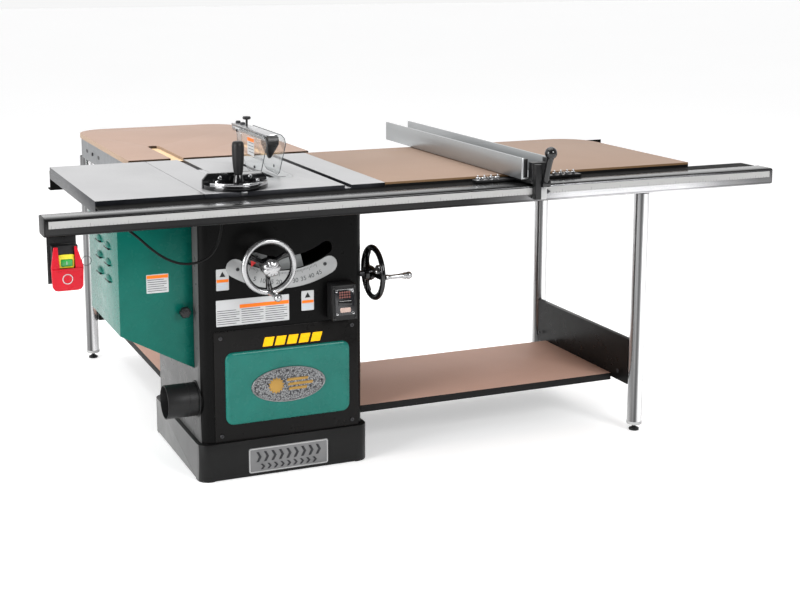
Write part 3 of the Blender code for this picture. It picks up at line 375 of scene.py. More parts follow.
def side_lit_black(name, dark, light, rough, specular):
    """Black paint whose left-facing side is coloured a softer, lighter grey: a painted highlight."""
    graph = Graph(name)
    tone = graph.ramp(graph.noise(9.0), tint(shade(dark), -0.18), tint(shade(dark), 0.18))
    side_painted_highlight = graph.ramp(graph.noise(3.0, (1, 1, 0.4)), tint(shade(light), -0.2), tint(shade(light), 0.2))
    # Painted highlight: faces that look to the left get the lighter colour.
    graph.put(graph.mix(graph.faces("X", 0.04), tone, side_painted_highlight), "Base Color")
    graph.put(graph.span(graph.noise(20.0), rough - 0.04, rough + 0.04), "Roughness")
    graph.bump(graph.noise(1300.0, (1, 1, 1), 3.0), 0.08)
    graph.set("Specular IOR Level", specular)
    return graph.material


def leg_surface():
    """Polished tube whose colour carries painted reflections: upright painted stripes, lighter to the right.
    """
    graph = Graph("leg_chrome")
    # Painted reflection: the grey level follows how far the surface faces one fixed direction.
    facing = graph.add("VectorMath")
    facing.operation = "DOT_PRODUCT"
    facing.inputs[1].default_value = (0.919, -0.395, 0.0)
    graph.link(graph.where.outputs["Normal"], facing.inputs[0])
    painted_reflection_bands = graph.stops(graph.remap(facing.outputs["Value"], -1.0, 1.0), [
        (0.0, 0.66), (0.08, 0.44), (0.18, 0.22), (0.25, 0.17), (0.31, 0.23), (0.40, 0.10), (0.47, 0.08),
        (0.55, 0.24), (0.62, 0.72), (0.72, 0.92), (0.88, 0.80), (0.94, 0.48), (1.0, 0.55),
    ])
    streaks = graph.noise(500.0, (1, 1, 0.02), 4.0)
    graph.put(graph.times(painted_reflection_bands, graph.ramp(streaks, shade(0.86), shade(1.0))), "Base Color")
    graph.streaked(streaks, 0.14, 0.22, 0.02, 0.85)
    return graph.material


# Heights below which the board edges get painted shadow, and where the grooves change colour.
SIDE_SHADOW_TOP_Z, FRONT_SHADOW_TOP_Z, GROOVE_Z = 0.855, 0.8675, 0.870


def board_surface(name, face, face_dark, edge, painted_shadow_edge=None, bare=None, shaded=True):
    """Laminate on the faces, a banded edge with painted shade on its front-facing side, a near-black painted
    shadow below a height, and bare board in the grooves.
    """
    graph = Graph(name)
    speckle = graph.noise(420.0, (1, 1, 1), 5.0)
    tone = graph.ramp(graph.noise(4.0), face_dark, face)
    top = graph.mix(0.35, tone, graph.ramp(speckle, tint(face_dark, -0.10), tint(face, 0.06)))
    fibre = graph.noise(260.0, (1, 1, 5), 5.0)
    side = graph.ramp(fibre, tint(edge, -0.20), tint(edge, 0.12))
    # Painted shade: front-facing edges get a dark brown.
    front = graph.ramp(fibre, (0.030, 0.018, 0.010), (0.060, 0.036, 0.020))
    if painted_shadow_edge is not None:
        # Painted shadow: the edges go near black below a height; the front edge keeps a darker painted shade
        # above it.
        lower = graph.ramp(fibre, tint(painted_shadow_edge, -0.2), tint(painted_shadow_edge, 0.2))
        side = graph.mix(graph.above("Z", SIDE_SHADOW_TOP_Z, "Object"), lower, side)
        front_edge_painted_shade = graph.ramp(fibre, (0.15, 0.09, 0.045), (0.22, 0.13, 0.065))
        front = graph.mix(graph.above("Z", FRONT_SHADOW_TOP_Z, "Object"), lower, front_edge_painted_shade)
    if bare is not None:
        ground = graph.ramp(fibre, tint(bare, -0.08), tint(bare, 0.08))
        top = graph.mix(graph.above("Z", GROOVE_Z, "Object"), ground, top)
    # With shaded set, the front-facing edges get the painted shade.
    if shaded:
        side = graph.mix(graph.faces("Y", 0.15), side, front)
    graph.put(graph.mix(graph.above("Z", 0.7), side, top), "Base Color")
    graph.put(graph.span(speckle, 0.50, 0.62), "Roughness")
    graph.bump(speckle, 0.05, 0.0002)
    graph.set("Specular IOR Level", 0.12)
    return graph.material


def clear_surface():
    graph = Graph("clear_plastic")
    graph.put(graph.ramp(graph.noise(9.0), (0.90, 0.93, 0.93), (0.97, 0.98, 0.98)), "Base Color")
    graph.put(graph.span(graph.noise(26.0), 0.02, 0.07), "Roughness")
    graph.set("Transmission Weight", 1.0)
    graph.set("IOR", 1.45)
    return graph.material


def badge_surface():
    """Cast pewter with a pebbled ground."""
    graph = Graph("cast_pewter")
    cells = graph.add("TexVoronoi", [("Vector", graph.where.outputs["Object"])], Scale=230.0)
    pebble = cells.outputs["Distance"]
    graph.put(graph.ramp(pebble, (0.34, 0.345, 0.35), (0.035, 0.035, 0.038), 0.1, 0.75), "Base Color")
    graph.put(graph.span(graph.noise(60.0), 0.25, 0.45), "Roughness")
    graph.bump(pebble, 0.6, 0.0008)
    graph.set("Metallic", 0.8)
    return graph.material


iron = iron_surface()
# The extension board's last colour is its near-black painted shadow.
board = board_surface(
    "tan_laminate", (0.312, 0.220, 0.167), (0.276, 0.190, 0.142), (0.27, 0.145, 0.065), (0.006, 0.006, 0.006)
)
outfeed_board = board_surface(
    "outfeed_laminate", (0.405, 0.285, 0.228), (0.36, 0.252, 0.200), (0.36, 0.26, 0.19),
    bare=(0.80, 0.57, 0.34)
)
shelf_board = board_surface(
    "shelf_laminate", (0.56, 0.360, 0.290), (0.50, 0.315, 0.245), (0.010, 0.010, 0.010), shaded=False
)
black = surface("black_powder_coat", (0.0046, 0.0042, 0.0040), 0.30, grain=1300.0, bump=0.08, specular=0.12)
# The cabinet and the base get a painted highlight on their left-facing sides.
cabinet_black = side_lit_black("cabinet_powder_coat", 0.0028, 0.074, 0.30, 0.06)
dull_black = surface(
    "dull_black_paint", (0.0046, 0.0044, 0.0043), 0.60, grain=1300.0, bump=0.05, specular=0.03
)
base_black = side_lit_black("black_base_paint", 0.0075, 0.100, 0.34, 0.18)
green = surface("green_powder_coat", (0.0018, 0.096, 0.073), 0.26, grain=1300.0, bump=0.05, specular=0.16)
inset_green = surface(
    "green_inset_paint", (0.008, 0.130, 0.105), 0.26, grain=1300.0, bump=0.03, specular=0.22
)
grey = surface("grey_paint", (0.125, 0.130, 0.136), 0.40, grain=1000.0, specular=0.3)
works_grey = surface("grey_casting", (0.20, 0.21, 0.21), 0.55, grain=420.0, bump=0.30, spread=0.15)
chrome = surface(
    "chrome", (0.55, 0.55, 0.56), 0.12, 1.0, spread=0.05, grain=300.0, bump=0.01, rough_spread=0.03
)
satin_chrome = surface("satin_chrome", (0.40, 0.40, 0.405), 0.24, 0.85, spread=0.06, grain=500.0, bump=0.02)
rail_chrome = rail_surface()
leg_chrome = leg_surface()
aluminium = surface("brushed_aluminium", (0.38, 0.39, 0.395), 0.33, 0.85, spread=0.05, stretch=(1, 0.1, 1),
                    grain=800.0, grain_stretch=(1, 0.02, 1))
steel = surface(
    "brushed_steel", (0.50, 0.50, 0.51), 0.28, 1.0, grain=700.0, grain_stretch=(1, 0.05, 1), bump=0.05
)
dark_steel = surface("blacked_steel", (0.035, 0.035, 0.038), 0.38, 0.6, grain=700.0, bump=0.08)
plastic = surface("black_plastic", (0.008, 0.008, 0.0085), 0.30, grain=1200.0, bump=0.08, specular=0.30)
gloss_black = surface("gloss_black_enamel", (0.005, 0.005, 0.0055), 0.12, grain=500.0, bump=0.02)
dull_plastic = surface(
    "dull_black_plastic", (0.008, 0.008, 0.0083), 0.45, grain=1200.0, bump=0.12, specular=0.25
)
rubber = surface("cord_rubber", (0.004, 0.004, 0.004), 0.45, grain=1500.0, bump=0.15, specular=0.10)
red = surface("red_plastic", (0.46, 0.007, 0.018), 0.30, bump=0.04, specular=0.20)
red_mark = surface("red_paint", (0.50, 0.012, 0.012), 0.45)
yellow = surface("yellow_plastic", (0.70, 0.62, 0.02), 0.35)
button_green = surface("green_plastic", (0.01, 0.30, 0.04), 0.30, coat=0.3)
white = surface("white_print", (0.47, 0.475, 0.48), 0.45, spread=0.03)
pale_blue = surface("pale_blue_print", (0.45, 0.53, 0.62), 0.45, spread=0.05)
orange = surface("orange_print", (0.80, 0.17, 0.01), 0.45, spread=0.04, specular=0.2)
ink = surface("dark_ink", (0.045, 0.047, 0.052), 0.5, specular=0.2)
yellow_print = surface("yellow_print", (0.95, 0.50, 0.004), 0.40, spread=0.04, specular=0.1)
tape = surface("scale_tape", (0.335, 0.335, 0.33), 0.35, stretch=(0.3, 1, 1), spread=0.05)
scale_silver = surface("scale_silver", (0.30, 0.305, 0.305), 0.36, 0.2, spread=0.05)
pewter = badge_surface()
plain_pewter = surface("plain_pewter", (0.19, 0.19, 0.193), 0.38, 0.5, grain=500.0, bump=0.15, spread=0.12)
gold = surface("old_gold", (0.34, 0.20, 0.05), 0.34, 0.7, grain=500.0, bump=0.1)
clear = clear_surface()
smoke = surface("smoked_window", (0.014, 0.014, 0.016), 0.10, grain=300.0, bump=0.01)
light_grey = surface("light_grey_casting", (0.42, 0.42, 0.42), 0.40, grain=600.0, bump=0.15)
# A dark colour painted on the shield edges in place of light bent at the clear edge.
edge_painted_shade = surface("shield_edge_painted_shade", (0.10, 0.11, 0.115), 0.25, grain=500.0)
red_print = surface("dull_red_print", (0.16, 0.045, 0.035), 0.4)
pink_print = surface("pinkish_print", (0.50, 0.36, 0.31), 0.5)

# The record's material slot that each finish usually stands for.
USUAL_SLOTS = {
    "rubber": (rubber,),
    "black_paint": (black, yellow_print, ink, orange),
    "steel": (pewter, plain_pewter, dark_steel, gold, light_grey, scale_silver, steel, tape),
    "red_plastic": (red_mark, red, red_print),
    "black_plastic": (dull_plastic, smoke, gloss_black, plastic, pink_print),
    "chrome": (chrome, satin_chrome),
    "green_paint": (green,),
    "clear_plastic": (edge_painted_shade,),
    "green_plastic": (yellow, white),
}
USUAL_SLOT = {finish.name: slot for slot, finishes in USUAL_SLOTS.items() for finish in finishes}


WELD_DISTANCE = 0.000005
SMOOTH_ANGLE = math.radians(32)
BEVEL_ANGLE = math.radians(38)


def smoothing():
    """A node group that welds a mesh and smooths it, apart from its sharp edges."""
    group = bpy.data.node_groups.new("smooth_by_angle", "GeometryNodeTree")
    group.interface.new_socket("Geometry", in_out="INPUT", socket_type="NodeSocketGeometry")
    group.interface.new_socket("Geometry", in_out="OUTPUT", socket_type="NodeSocketGeometry")
    new = group.nodes.new
    start, end = new("NodeGroupInput"), new("NodeGroupOutput")
    strip = new("GeometryNodeRemoveAttribute")
    strip.inputs["Name"].default_value = "custom_normal"
    weld = new("GeometryNodeMergeByDistance")
    weld.inputs["Distance"].default_value = WELD_DISTANCE
    faces, edges = new("GeometryNodeSetShadeSmooth"), new("GeometryNodeSetShadeSmooth")
    edges.domain = "EDGE"
    edges.inputs["Shade Smooth"].default_value = False
    angle = new("GeometryNodeInputMeshEdgeAngle")
    compare = new("FunctionNodeCompare")
    compare.inputs["B"].default_value = SMOOTH_ANGLE
    link = group.links.new
    link(start.outputs[0], strip.inputs["Geometry"])
    link(strip.outputs["Geometry"], weld.inputs["Geometry"])
    link(weld.outputs["Geometry"], faces.inputs["Geometry"])
    link(faces.outputs["Geometry"], edges.inputs["Geometry"])
    link(angle.outputs["Unsigned Angle"], compare.inputs["A"])
    link(compare.outputs["Result"], edges.inputs["Selection"])
    link(edges.outputs["Geometry"], end.inputs[0])
    return group


smooth_group = smoothing()


def finish_edges(obj, bevel=0.0):
    """Welds, softens the edges and smooths what isn't sharp."""
    if bevel:
        weld = obj.modifiers.new("weld", "WELD")
        weld.merge_threshold = WELD_DISTANCE
        soften = obj.modifiers.new("soften", "BEVEL")
        soften.width = bevel
        soften.segments = 2
        soften.limit_method = "ANGLE"
        soften.angle_limit = BEVEL_ANGLE
    obj.modifiers.new("smooth", "NODES").node_group = smooth_group


def piece(name, shape, material, body="stand", bevel=0.0, slot=None, replaces=()):
    """One piece of the visual model, riding on a body; the slot, given or looked up from its finish, is not
    used.
    """
    slot = slot or USUAL_SLOT[material.name]
    mesh = bpy.data.meshes.new(name)
    shape.to_mesh(mesh)
    shape.free()
    mesh.materials.append(material)
    obj = bpy.data.objects.new(name, mesh)
    bpy.context.scene.collection.objects.link(obj)
    finish_edges(obj, bevel)
    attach(obj, body)
    if replaces:
        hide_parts(*replaces)
    return obj


# ---------------------------------------------------------------- cord

CORD_Y = -0.402
GLAND_Z = 0.8147
CORD_ROUTE = [
    (-0.4870, GLAND_Z), (-0.4870, 0.8060), (-0.4800, 0.7940), (-0.4560, 0.772), (-0.4250, 0.742),
    (-0.3870, 0.713), (-0.3460, 0.695), (-0.3050, 0.692), (-0.2680, 0.704), (-0.2420, 0.733),
    (-0.2290, 0.772), (-0.2250, 0.8060), (-0.2250, GLAND_Z),
]


def smooth_route(route, spacing):
    """Points at an even spacing on a Catmull-Rom curve through the route's own points."""
    knots = [2 * Vector(route[0]) - Vector(route[1])] + [Vector(p) for p in route]
    knots.append(2 * knots[-1] - knots[-2])
    fine = []
    for a, b, c, d in zip(knots, knots[1:], knots[2:], knots[3:]):
        for i in range(20):
            t = i / 20
            fine.append(0.5 * (2 * b + (c - a) * t + (2 * a - 5 * b + 4 * c - d) * t ** 2
                               + (3 * b - a - 3 * c + d) * t ** 3))
    fine.append(Vector(route[-1]))
    total = sum((q - p).length for p, q in zip(fine, fine[1:]))
    count = round(total / spacing)
    places = [fine[0]]
    walked = 0.0
    for p, q in zip(fine, fine[1:]):
        walked += (q - p).length
        if walked >= total * len(places) / count and len(places) < count:
            places.append(q)
    return places + [fine[-1]]


route = smooth_route([(x, CORD_Y, z) for x, z in CORD_ROUTE], 0.005)
cord = piece("switch_cord_flex", sweep(route, 0.0035), rubber, replaces=("switch_cord",))
relief_parts = []
for end in (route, route[::-1]):
    steps = end[:6]
    relief_parts.append(sweep(steps, [0.0062, 0.0060, 0.0056, 0.0050, 0.0044, 0.0039]))
reliefs = piece("switch_cord_reliefs", merged(*relief_parts), rubber)

# ---------------------------------------------------------------- finishes of the frame's own nodes

FINISHES = (
    (base_black, 0.003, ("base_plinth",)),
    (cabinet_black, 0.0, ("cabinet",)),
    (dull_plastic, 0.001, ("dust_port",)),
    (dull_plastic, 0.002, ("control_box",)),
    (iron, 0.0015, ("main_table", "left_wing")),
    (aluminium, 0.0, ("table_insert",)),
    (works_grey, 0.002, ("trunnion_frame",)),
    (rail_chrome, 0.0, ("front_rail",)),
    (dull_black, 0.0008, ("front_rail_angle", "rear_rail_angle")),
    (board, 0.0012, ("extension_table",)),
    (outfeed_board, 0.0012, ("outfeed_table",)),
    (grey, 0.0, ("outfeed_apron",)),
    (leg_chrome, 0.0, ("extension_leg_front", "extension_leg_rear")),
    (leg_chrome, 0.0, ("outfeed_leg_left", "outfeed_leg_right")),
    (plastic, 0.0005, ("extension_foot_front", "extension_foot_rear")),
    (plastic, 0.0005, ("outfeed_foot_left", "outfeed_foot_right")),
    (black, 0.0012, ("extension_end_panel", "outfeed_end_panel")),
    (shelf_board, 0.0012, ("extension_shelf", "outfeed_shelf")),
    (plastic, 0.0012, ("switch_box", "fence_head")),
    (green, 0.002, ("motor_cover",)),
    (works_grey, 0.0, ("trunnion_cradle", "arbor_arm")),
    (steel, 0.0003, ("splitter", "kickback_pawls")),
    (steel, 0.0005, ("shield_link", "arbor")),
    (steel, 0.0005, ("motor_pulley", "raise_shaft")),
    (clear, 0.0, ("shield_left", "shield_right")),
    (black, 0.002, ("motor",)),
    (rubber, 0.001, ("drive_belt",)),
    (steel, 0.0, ("saw_blade",)),
    (aluminium, 0.0008, ("fence_channel",)),
    (steel, 0.0006, ("miter_bar",)),
    (button_green, 0.0008, ("start_button",)),
    (red, 0.0015, ("stop_paddle",)),
)
for finish, softness, node_names in FINISHES:
    for node_name in node_names:
        node = nodes[node_name]
        node.material_slots[0].link = "OBJECT"
        node.material_slots[0].material = finish
        finish_edges(node, softness)

# ---------------------------------------------------------------- small fastenings


def bolt(centre, direction, radius, height=0.004):
    """A low cap screw, its hexagon socket drawn as a dark hexagon: painted shade for the recess."""
    head = turned([(radius, 0.0), (radius, height * 0.75), (radius * 0.85, height)], centre, direction, 20)
    socket = turned([(radius * 0.45, height * 0.9), (radius * 0.45, height + 0.0003)], centre, direction, 6)
    return head, socket


def bolts(name, centres, direction, radius, material, body="stand", height=0.004, slot=None):
    """A row of cap screws, with their sockets as a second, black piece: painted shade in the recesses."""
    slot = slot or USUAL_SLOT[material.name]
    heads = []
    sockets = []
    for centre in centres:
        head, socket = bolt(centre, direction, radius, height)
        heads.append(head)
        sockets.append(socket)
    piece(name, merged(*heads), material, body, 0.0003, slot=slot)
    # Painted shade: the sockets are black.
    piece(name + "_sockets", merged(*sockets), dull_plastic, body, slot=slot)


# ---------------------------------------------------------------- front of the cabinet

FRONT = -0.2623
PANEL_FRONT = -0.2653

piece(
    "lower_panel_sheet", plate(rounded((-0.216, 0.115), (0.235, 0.451), 0.004, 3), 1, FRONT, PANEL_FRONT),
    black, "stand", 0.0008, replaces=("lower_front_panel",)
)


def pressed_panel(name, low, high, radius, levels, material, slot):
    """A raised panel whose rim steps in as it rises: (inset, y) pairs."""
    rows = []
    for inset, y in levels:
        outline = rounded(
            (low[0] + inset, low[1] + inset), (high[0] - inset, high[1] - inset), radius - inset, 8
        )
        rows.append([Vector((x, y, z)) for x, z in outline])
    piece(name, skin(rows), material, slot=slot)


pressed_panel(
    "lower_panel_green_inset", (-0.183, 0.167), (0.205, 0.386), 0.024,
    [(0.0, PANEL_FRONT + 0.001), (0.0, -0.2685), (0.0010, -0.2705), (0.0030, -0.2722), (0.0060, -0.2732),
     (0.0100, -0.2738), (0.0130, -0.2740)],
    inset_green, "green_paint",
)

BADGE = (0.009, 0.2745)
BADGE_SIZE = (0.116, 0.053)
BADGE_Y = -0.2740


def ellipse(scale=1.0):
    wide, tall = BADGE_SIZE[0] * scale, BADGE_SIZE[1] * scale
    return [(BADGE[0] + wide * c, BADGE[1] + tall * s) for c, s in circle(64)]


piece(
    "oval_badge",
    stacked(
        ellipse(), BADGE, 1,
        [
            (1.0, BADGE_Y + 0.001), (1.0, BADGE_Y - 0.002), (0.97, BADGE_Y - 0.0035),
            (0.94, BADGE_Y - 0.0025), (0.80, BADGE_Y - 0.0032), (0.5, BADGE_Y - 0.0042),
            (0.05, BADGE_Y - 0.0046)
        ]
    ),
    pewter
)
rim_path = [Vector((x, BADGE_Y - 0.003, z)) for x, z in ellipse(0.975)]
piece("oval_badge_rim", sweep(rim_path, 0.0018, 10, closed=True), plain_pewter)
bolts(
    "oval_badge_screws", [(BADGE[0] + s * 0.104, BADGE_Y - 0.003, BADGE[1]) for s in (-1, 1)], -Y, 0.0035,
    dark_steel, "stand", 0.0015
)


def badge_ornament():
    """A plain toothed disc and three bars, in place of any mark."""
    centre = (BADGE[0] - 0.040, BADGE[1])
    back = BADGE_Y - 0.0035
    front = BADGE_Y - 0.0062
    teeth = []
    for i in range(14):
        start = 360 / 14 * i
        teeth.append(on_circle(centre, 0.0185, start))
        teeth.append(on_circle(centre, 0.0245, start + 4))
        teeth.append(on_circle(centre, 0.0235, start + 15))
    shapes = [plate(teeth, 1, back, front)]
    for i, (length, z) in enumerate(((0.066, 0.014), (0.078, 0.0), (0.056, -0.014))):
        left = BADGE[0] - 0.008 + 0.003 * i
        bar = [(left, BADGE[1] + z - 0.0042), (left + length, BADGE[1] + z - 0.0042),
               (left + length + 0.003, BADGE[1] + z + 0.0042), (left + 0.003, BADGE[1] + z + 0.0042)]
        shapes.append(plate(bar, 1, back, front))
    return merged(*shapes)


piece("oval_badge_ornament", badge_ornament(), gold, "stand", 0.0008)


def stripe_mark():
    """A row of slanted bars above the green panel."""
    shapes = []
    width, lean, notch = 0.030, 0.008, 0.006
    for i in range(5):
        left = -0.068 + i * 0.0375
        right = left + width
        outline = [(left, 0.3935), (right, 0.3935), (right + lean, 0.4210), (left + lean, 0.4210)]
        shapes.append(plate(outline, 1, PANEL_FRONT, PANEL_FRONT - 0.0004))
        if i % 2:
            outline = [(left + notch + 0.002, 0.4015), (right - notch, 0.4015),
                       (right - notch + 0.0035, 0.4130), (left + notch + 0.0055, 0.4130)]
            shapes.append(plate(outline, 1, PANEL_FRONT - 0.0004, PANEL_FRONT - 0.0005))
    return merged(*shapes)


piece("yellow_stripe_mark", stripe_mark(), yellow_print)
bolts(
    "lower_panel_bolts", [(x, PANEL_FRONT, z) for x in (-0.196, 0.215) for z in (0.135, 0.431)], -Y, 0.006,
    dark_steel, "stand", 0.003, slot="black_paint"
)

# base plate
PLATE_LOW, PLATE_HIGH = (-0.118, 0.011), (0.133, 0.088)
BASE_FRONT = -0.272
piece(
    "base_plate", plate(rounded(PLATE_LOW, PLATE_HIGH, 0.007), 1, BASE_FRONT + 0.001, BASE_FRONT - 0.0022),
    plain_pewter, "stand", 0.0006
)
low = (PLATE_LOW[0] + 0.003, PLATE_LOW[1] + 0.003)
high = (PLATE_HIGH[0] - 0.003, PLATE_HIGH[1] - 0.003)
border = [Vector((x, BASE_FRONT - 0.0025, z)) for x, z in rounded(low, high, 0.005)]
piece("base_plate_border", sweep(border, 0.0014, 8, closed=True), light_grey)


def base_ornament():
    """Two rows of raised chevrons."""
    shapes = []
    for row, (z, half, step) in enumerate(((0.060, 0.0155, 0.0235), (0.029, 0.0085, 0.0205))):
        for i in range(9):
            x = 0.0075 + (i - 4) * step
            wide = 0.0085 - 0.001 * row
            outline = [
                (x - wide, z - half), (x - wide * 0.1, z - half), (x + wide * 0.9, z),
                (x - wide * 0.1, z + half), (x - wide, z + half), (x, z)
            ]
            shapes.append(plate(outline, 1, BASE_FRONT - 0.002, BASE_FRONT - 0.0042))
    return merged(*shapes)


piece("base_plate_chevrons", base_ornament(), dark_steel, "stand", 0.0005)

# tilt scale
TILT = (0.009, 0.874)


SCALE_ZERO = -24.5


def from_down(angle):
    """An angle measured from straight down."""
    return angle - 90


def scale_band():
    """The tilt scale's curved plate, with round ends."""
    inner, outer = 0.258, 0.311
    start, end = -33.5, 28.0
    middle = (inner + outer) / 2
    half = (outer - inner) / 2
    outline = arc(TILT, outer, from_down(start), from_down(end), 40)
    outline += arc(
        on_circle(TILT, middle, from_down(end)), half, from_down(end), from_down(end) + 180, 8
    )[1:-1]
    outline += arc(TILT, inner, from_down(end), from_down(start), 40)
    outline += arc(
        on_circle(TILT, middle, from_down(start)), half, from_down(start) + 180, from_down(start) + 360, 8
    )[1:-1]
    return plate(outline, 1, FRONT + 0.0002, FRONT - 0.0015)


piece("tilt_scale_plate", scale_band(), scale_silver, "stand", 0.0003)
SCALE_FACE = FRONT - 0.0015


def scale_marks():
    """A tick for each degree, longer every five."""
    shapes = []
    for degree in range(0, 46):
        angle = from_down(degree + SCALE_ZERO)
        reach = 0.012 if degree % 5 == 0 else 0.006
        a = on_circle(TILT, 0.2615, angle - 0.12)
        b = on_circle(TILT, 0.2615, angle + 0.12)
        c = on_circle(TILT, 0.2615 + reach, angle + 0.12)
        d = on_circle(TILT, 0.2615 + reach, angle - 0.12)
        shapes.append(plate([a, b, c, d], 1, SCALE_FACE, SCALE_FACE - 0.0002))
    return merged(*shapes)


piece("tilt_scale_ticks", scale_marks(), ink)


def dial_number(value, centre, size, turn):
    """A number printed on a dial, as a thin mesh facing the front."""
    curve = bpy.data.curves.new("number", "FONT")
    curve.body = str(value)
    curve.size = size
    curve.align_x = "CENTER"
    curve.align_y = "CENTER"
    curve.extrude = 0.0002
    maker = bpy.data.objects.new("number", curve)
    bpy.context.scene.collection.objects.link(maker)
    mesh = bpy.data.meshes.new_from_object(maker.evaluated_get(bpy.context.evaluated_depsgraph_get()))
    bpy.data.objects.remove(maker, do_unlink=True)
    mesh.transform(
        Matrix.Translation(centre) @ Matrix.Rotation(turn, 4, "Y") @ Matrix.Rotation(math.pi / 2, 4, "X")
    )
    shape = bmesh.new()
    shape.from_mesh(mesh)
    bpy.data.meshes.remove(mesh)
    piece("tilt_scale_number_%02d" % value, shape, ink)


for degree in range(0, 50, 5):
    angle = degree + SCALE_ZERO
    x, z = on_circle(TILT, 0.292, from_down(angle))
    dial_number(degree, (x, SCALE_FACE - 0.0001, z), 0.019, -math.radians(angle))
screws = [on_circle(TILT, 0.284, from_down(-31.5)), on_circle(TILT, 0.276, from_down(26.0))]
bolts("tilt_scale_screws", [(x, SCALE_FACE, z) for x, z in screws], -Y, 0.0055, dark_steel, "stand", 0.002)

# the red pointer rides on the tilting cradle
pointer = [on_circle(TILT, 0.262, from_down(SCALE_ZERO)), on_circle(TILT, 0.240, from_down(-27.0)),
           on_circle(TILT, 0.240, from_down(-22.0))]
piece("tilt_pointer", plate(pointer, 1, FRONT - 0.0040, FRONT - 0.0060), red_mark, "cradle", 0.0004)

# ---------------------------------------------------------------- labels


def label(name, low, high, axis, face, out, body, stripe, lines, columns=1, blue=False):
    """A printed label with a coloured band and rows of plain bars. out is +1 or -1 along the axis."""
    thick = 0.0003 * out
    piece(
        name, plate(rounded(low, high, 0.002, 3), axis, face, face + thick), white, body, slot="black_paint"
    )
    (u0, v0), (u1, v1) = low, high
    height = v1 - v0
    band_top = v1 - height * stripe[0]
    band_low = v1 - height * stripe[1]
    band_left = u0 + (u1 - u0) * stripe[2]
    edge = u1 - 0.001
    band = [(band_left, band_low), (edge, band_low), (edge, band_top), (band_left, band_top)]
    piece(name + "_band", plate(band, axis, face + thick, face + 1.6 * thick), orange, body)
    bars = []
    pad = 0.003
    column = (u1 - u0 - pad) / columns
    for c in range(columns):
        left = u0 + pad + c * column
        for i in range(lines):
            top = band_low - 0.003 - i * (band_low - v0 - 0.004) / lines
            thin = min(0.0018, (band_low - v0) / lines * 0.45)
            right = left + (column - pad) * (0.96 if i % 3 else 0.82)
            bars.append(plate([(left, top - thin), (right, top - thin), (right, top), (left, top)],
                              axis, face + thick, face + 1.5 * thick))
    piece(name + "_lines", merged(*bars), pale_blue if blue else ink, body, slot="black_paint")


WALL = -0.262
label("label_large", (-0.206, 0.466), (0.017, 0.544), 1, WALL, -1, "stand", (0.22, 0.36, 0.32), 7, 3)
label("label_left", (-0.204, 0.573), (-0.166, 0.636), 1, WALL, -1, "stand", (0.48, 0.62, 0.04), 4, 1, True)
label("label_right", (0.056, 0.489), (0.095, 0.549), 1, WALL, -1, "stand", (0.48, 0.62, 0.04), 4, 1, True)
label("label_cover", (-0.391, 0.567), (-0.326, 0.622), 1, -0.192, -1, "motor_door", (0.04, 0.22, 0.02), 6)
label("label_guard", (-0.070, 0.930), (-0.005, 0.985), 0, -0.0215, -1, "left_shield", (0.05, 0.25, 0.02), 4)


def label_pictures():
    """Plain triangles on the two small labels."""
    shapes = []
    for x, z in ((-0.185, 0.620), (0.0755, 0.535)):
        triangle = [(x - 0.009, z - 0.007), (x + 0.009, z - 0.007), (x, z + 0.009)]
        shapes.append(plate(triangle, 1, WALL - 0.0003, WALL - 0.0005))
    return merged(*shapes)


piece("label_pictures", label_pictures(), dull_plastic, slot="black_paint")

# ---------------------------------------------------------------- control box

lean = math.atan2(0.011, 0.098)


def on_box(x, up, out):
    """A point on the control box's sloping face, up from its lower edge and out from it."""
    return Vector(
        (x, -0.314 + up * math.sin(lean) - out * math.cos(lean), 0.466 + up * math.cos(lean) + out * 0.11)
    )


def box_plate(low, high, depth, back=0.0):
    rows = []
    for out in (back, depth):
        rows.append([on_box(u, v, out) for u, v in rounded(low, high, 0.003, 3)])
    return skin(rows)


piece("control_window", box_plate((0.144, 0.010), (0.206, 0.088), 0.0030), smoke, "stand", 0.0006)
cells = [
    box_plate(
        (0.157 + i * 0.0075, 0.061 + j * 0.0075), (0.163 + i * 0.0075, 0.067 + j * 0.0075), 0.0040, 0.003
    )
    for i in range(5)
    for j in range(3)
]
piece("control_red_grid", merged(*cells), red_print)
piece(
    "control_switch_bar", box_plate((0.154, 0.040), (0.197, 0.054), 0.0055, 0.002), gloss_black, "stand",
    0.0012
)
piece("control_sticker", box_plate((0.159, 0.019), (0.192, 0.033), 0.0034, 0.003), pink_print)
normal = on_box(0, 0, 1) - on_box(0, 0, 0)
bolts(
    "control_screws", [on_box(x, v, 0.0025) for x in (0.1495, 0.2005) for v in (0.0155, 0.0825)], normal,
    0.0036, chrome, "stand", 0.0018
)
bolts(
    "control_corner_screws",
    [on_box(x, v, 0.0) for x, v in ((0.142, 0.094), (0.208, 0.094), (0.142, 0.003), (0.208, 0.003))], normal,
    0.0034, gloss_black, "stand", 0.0016
)

# ---------------------------------------------------------------- handwheels


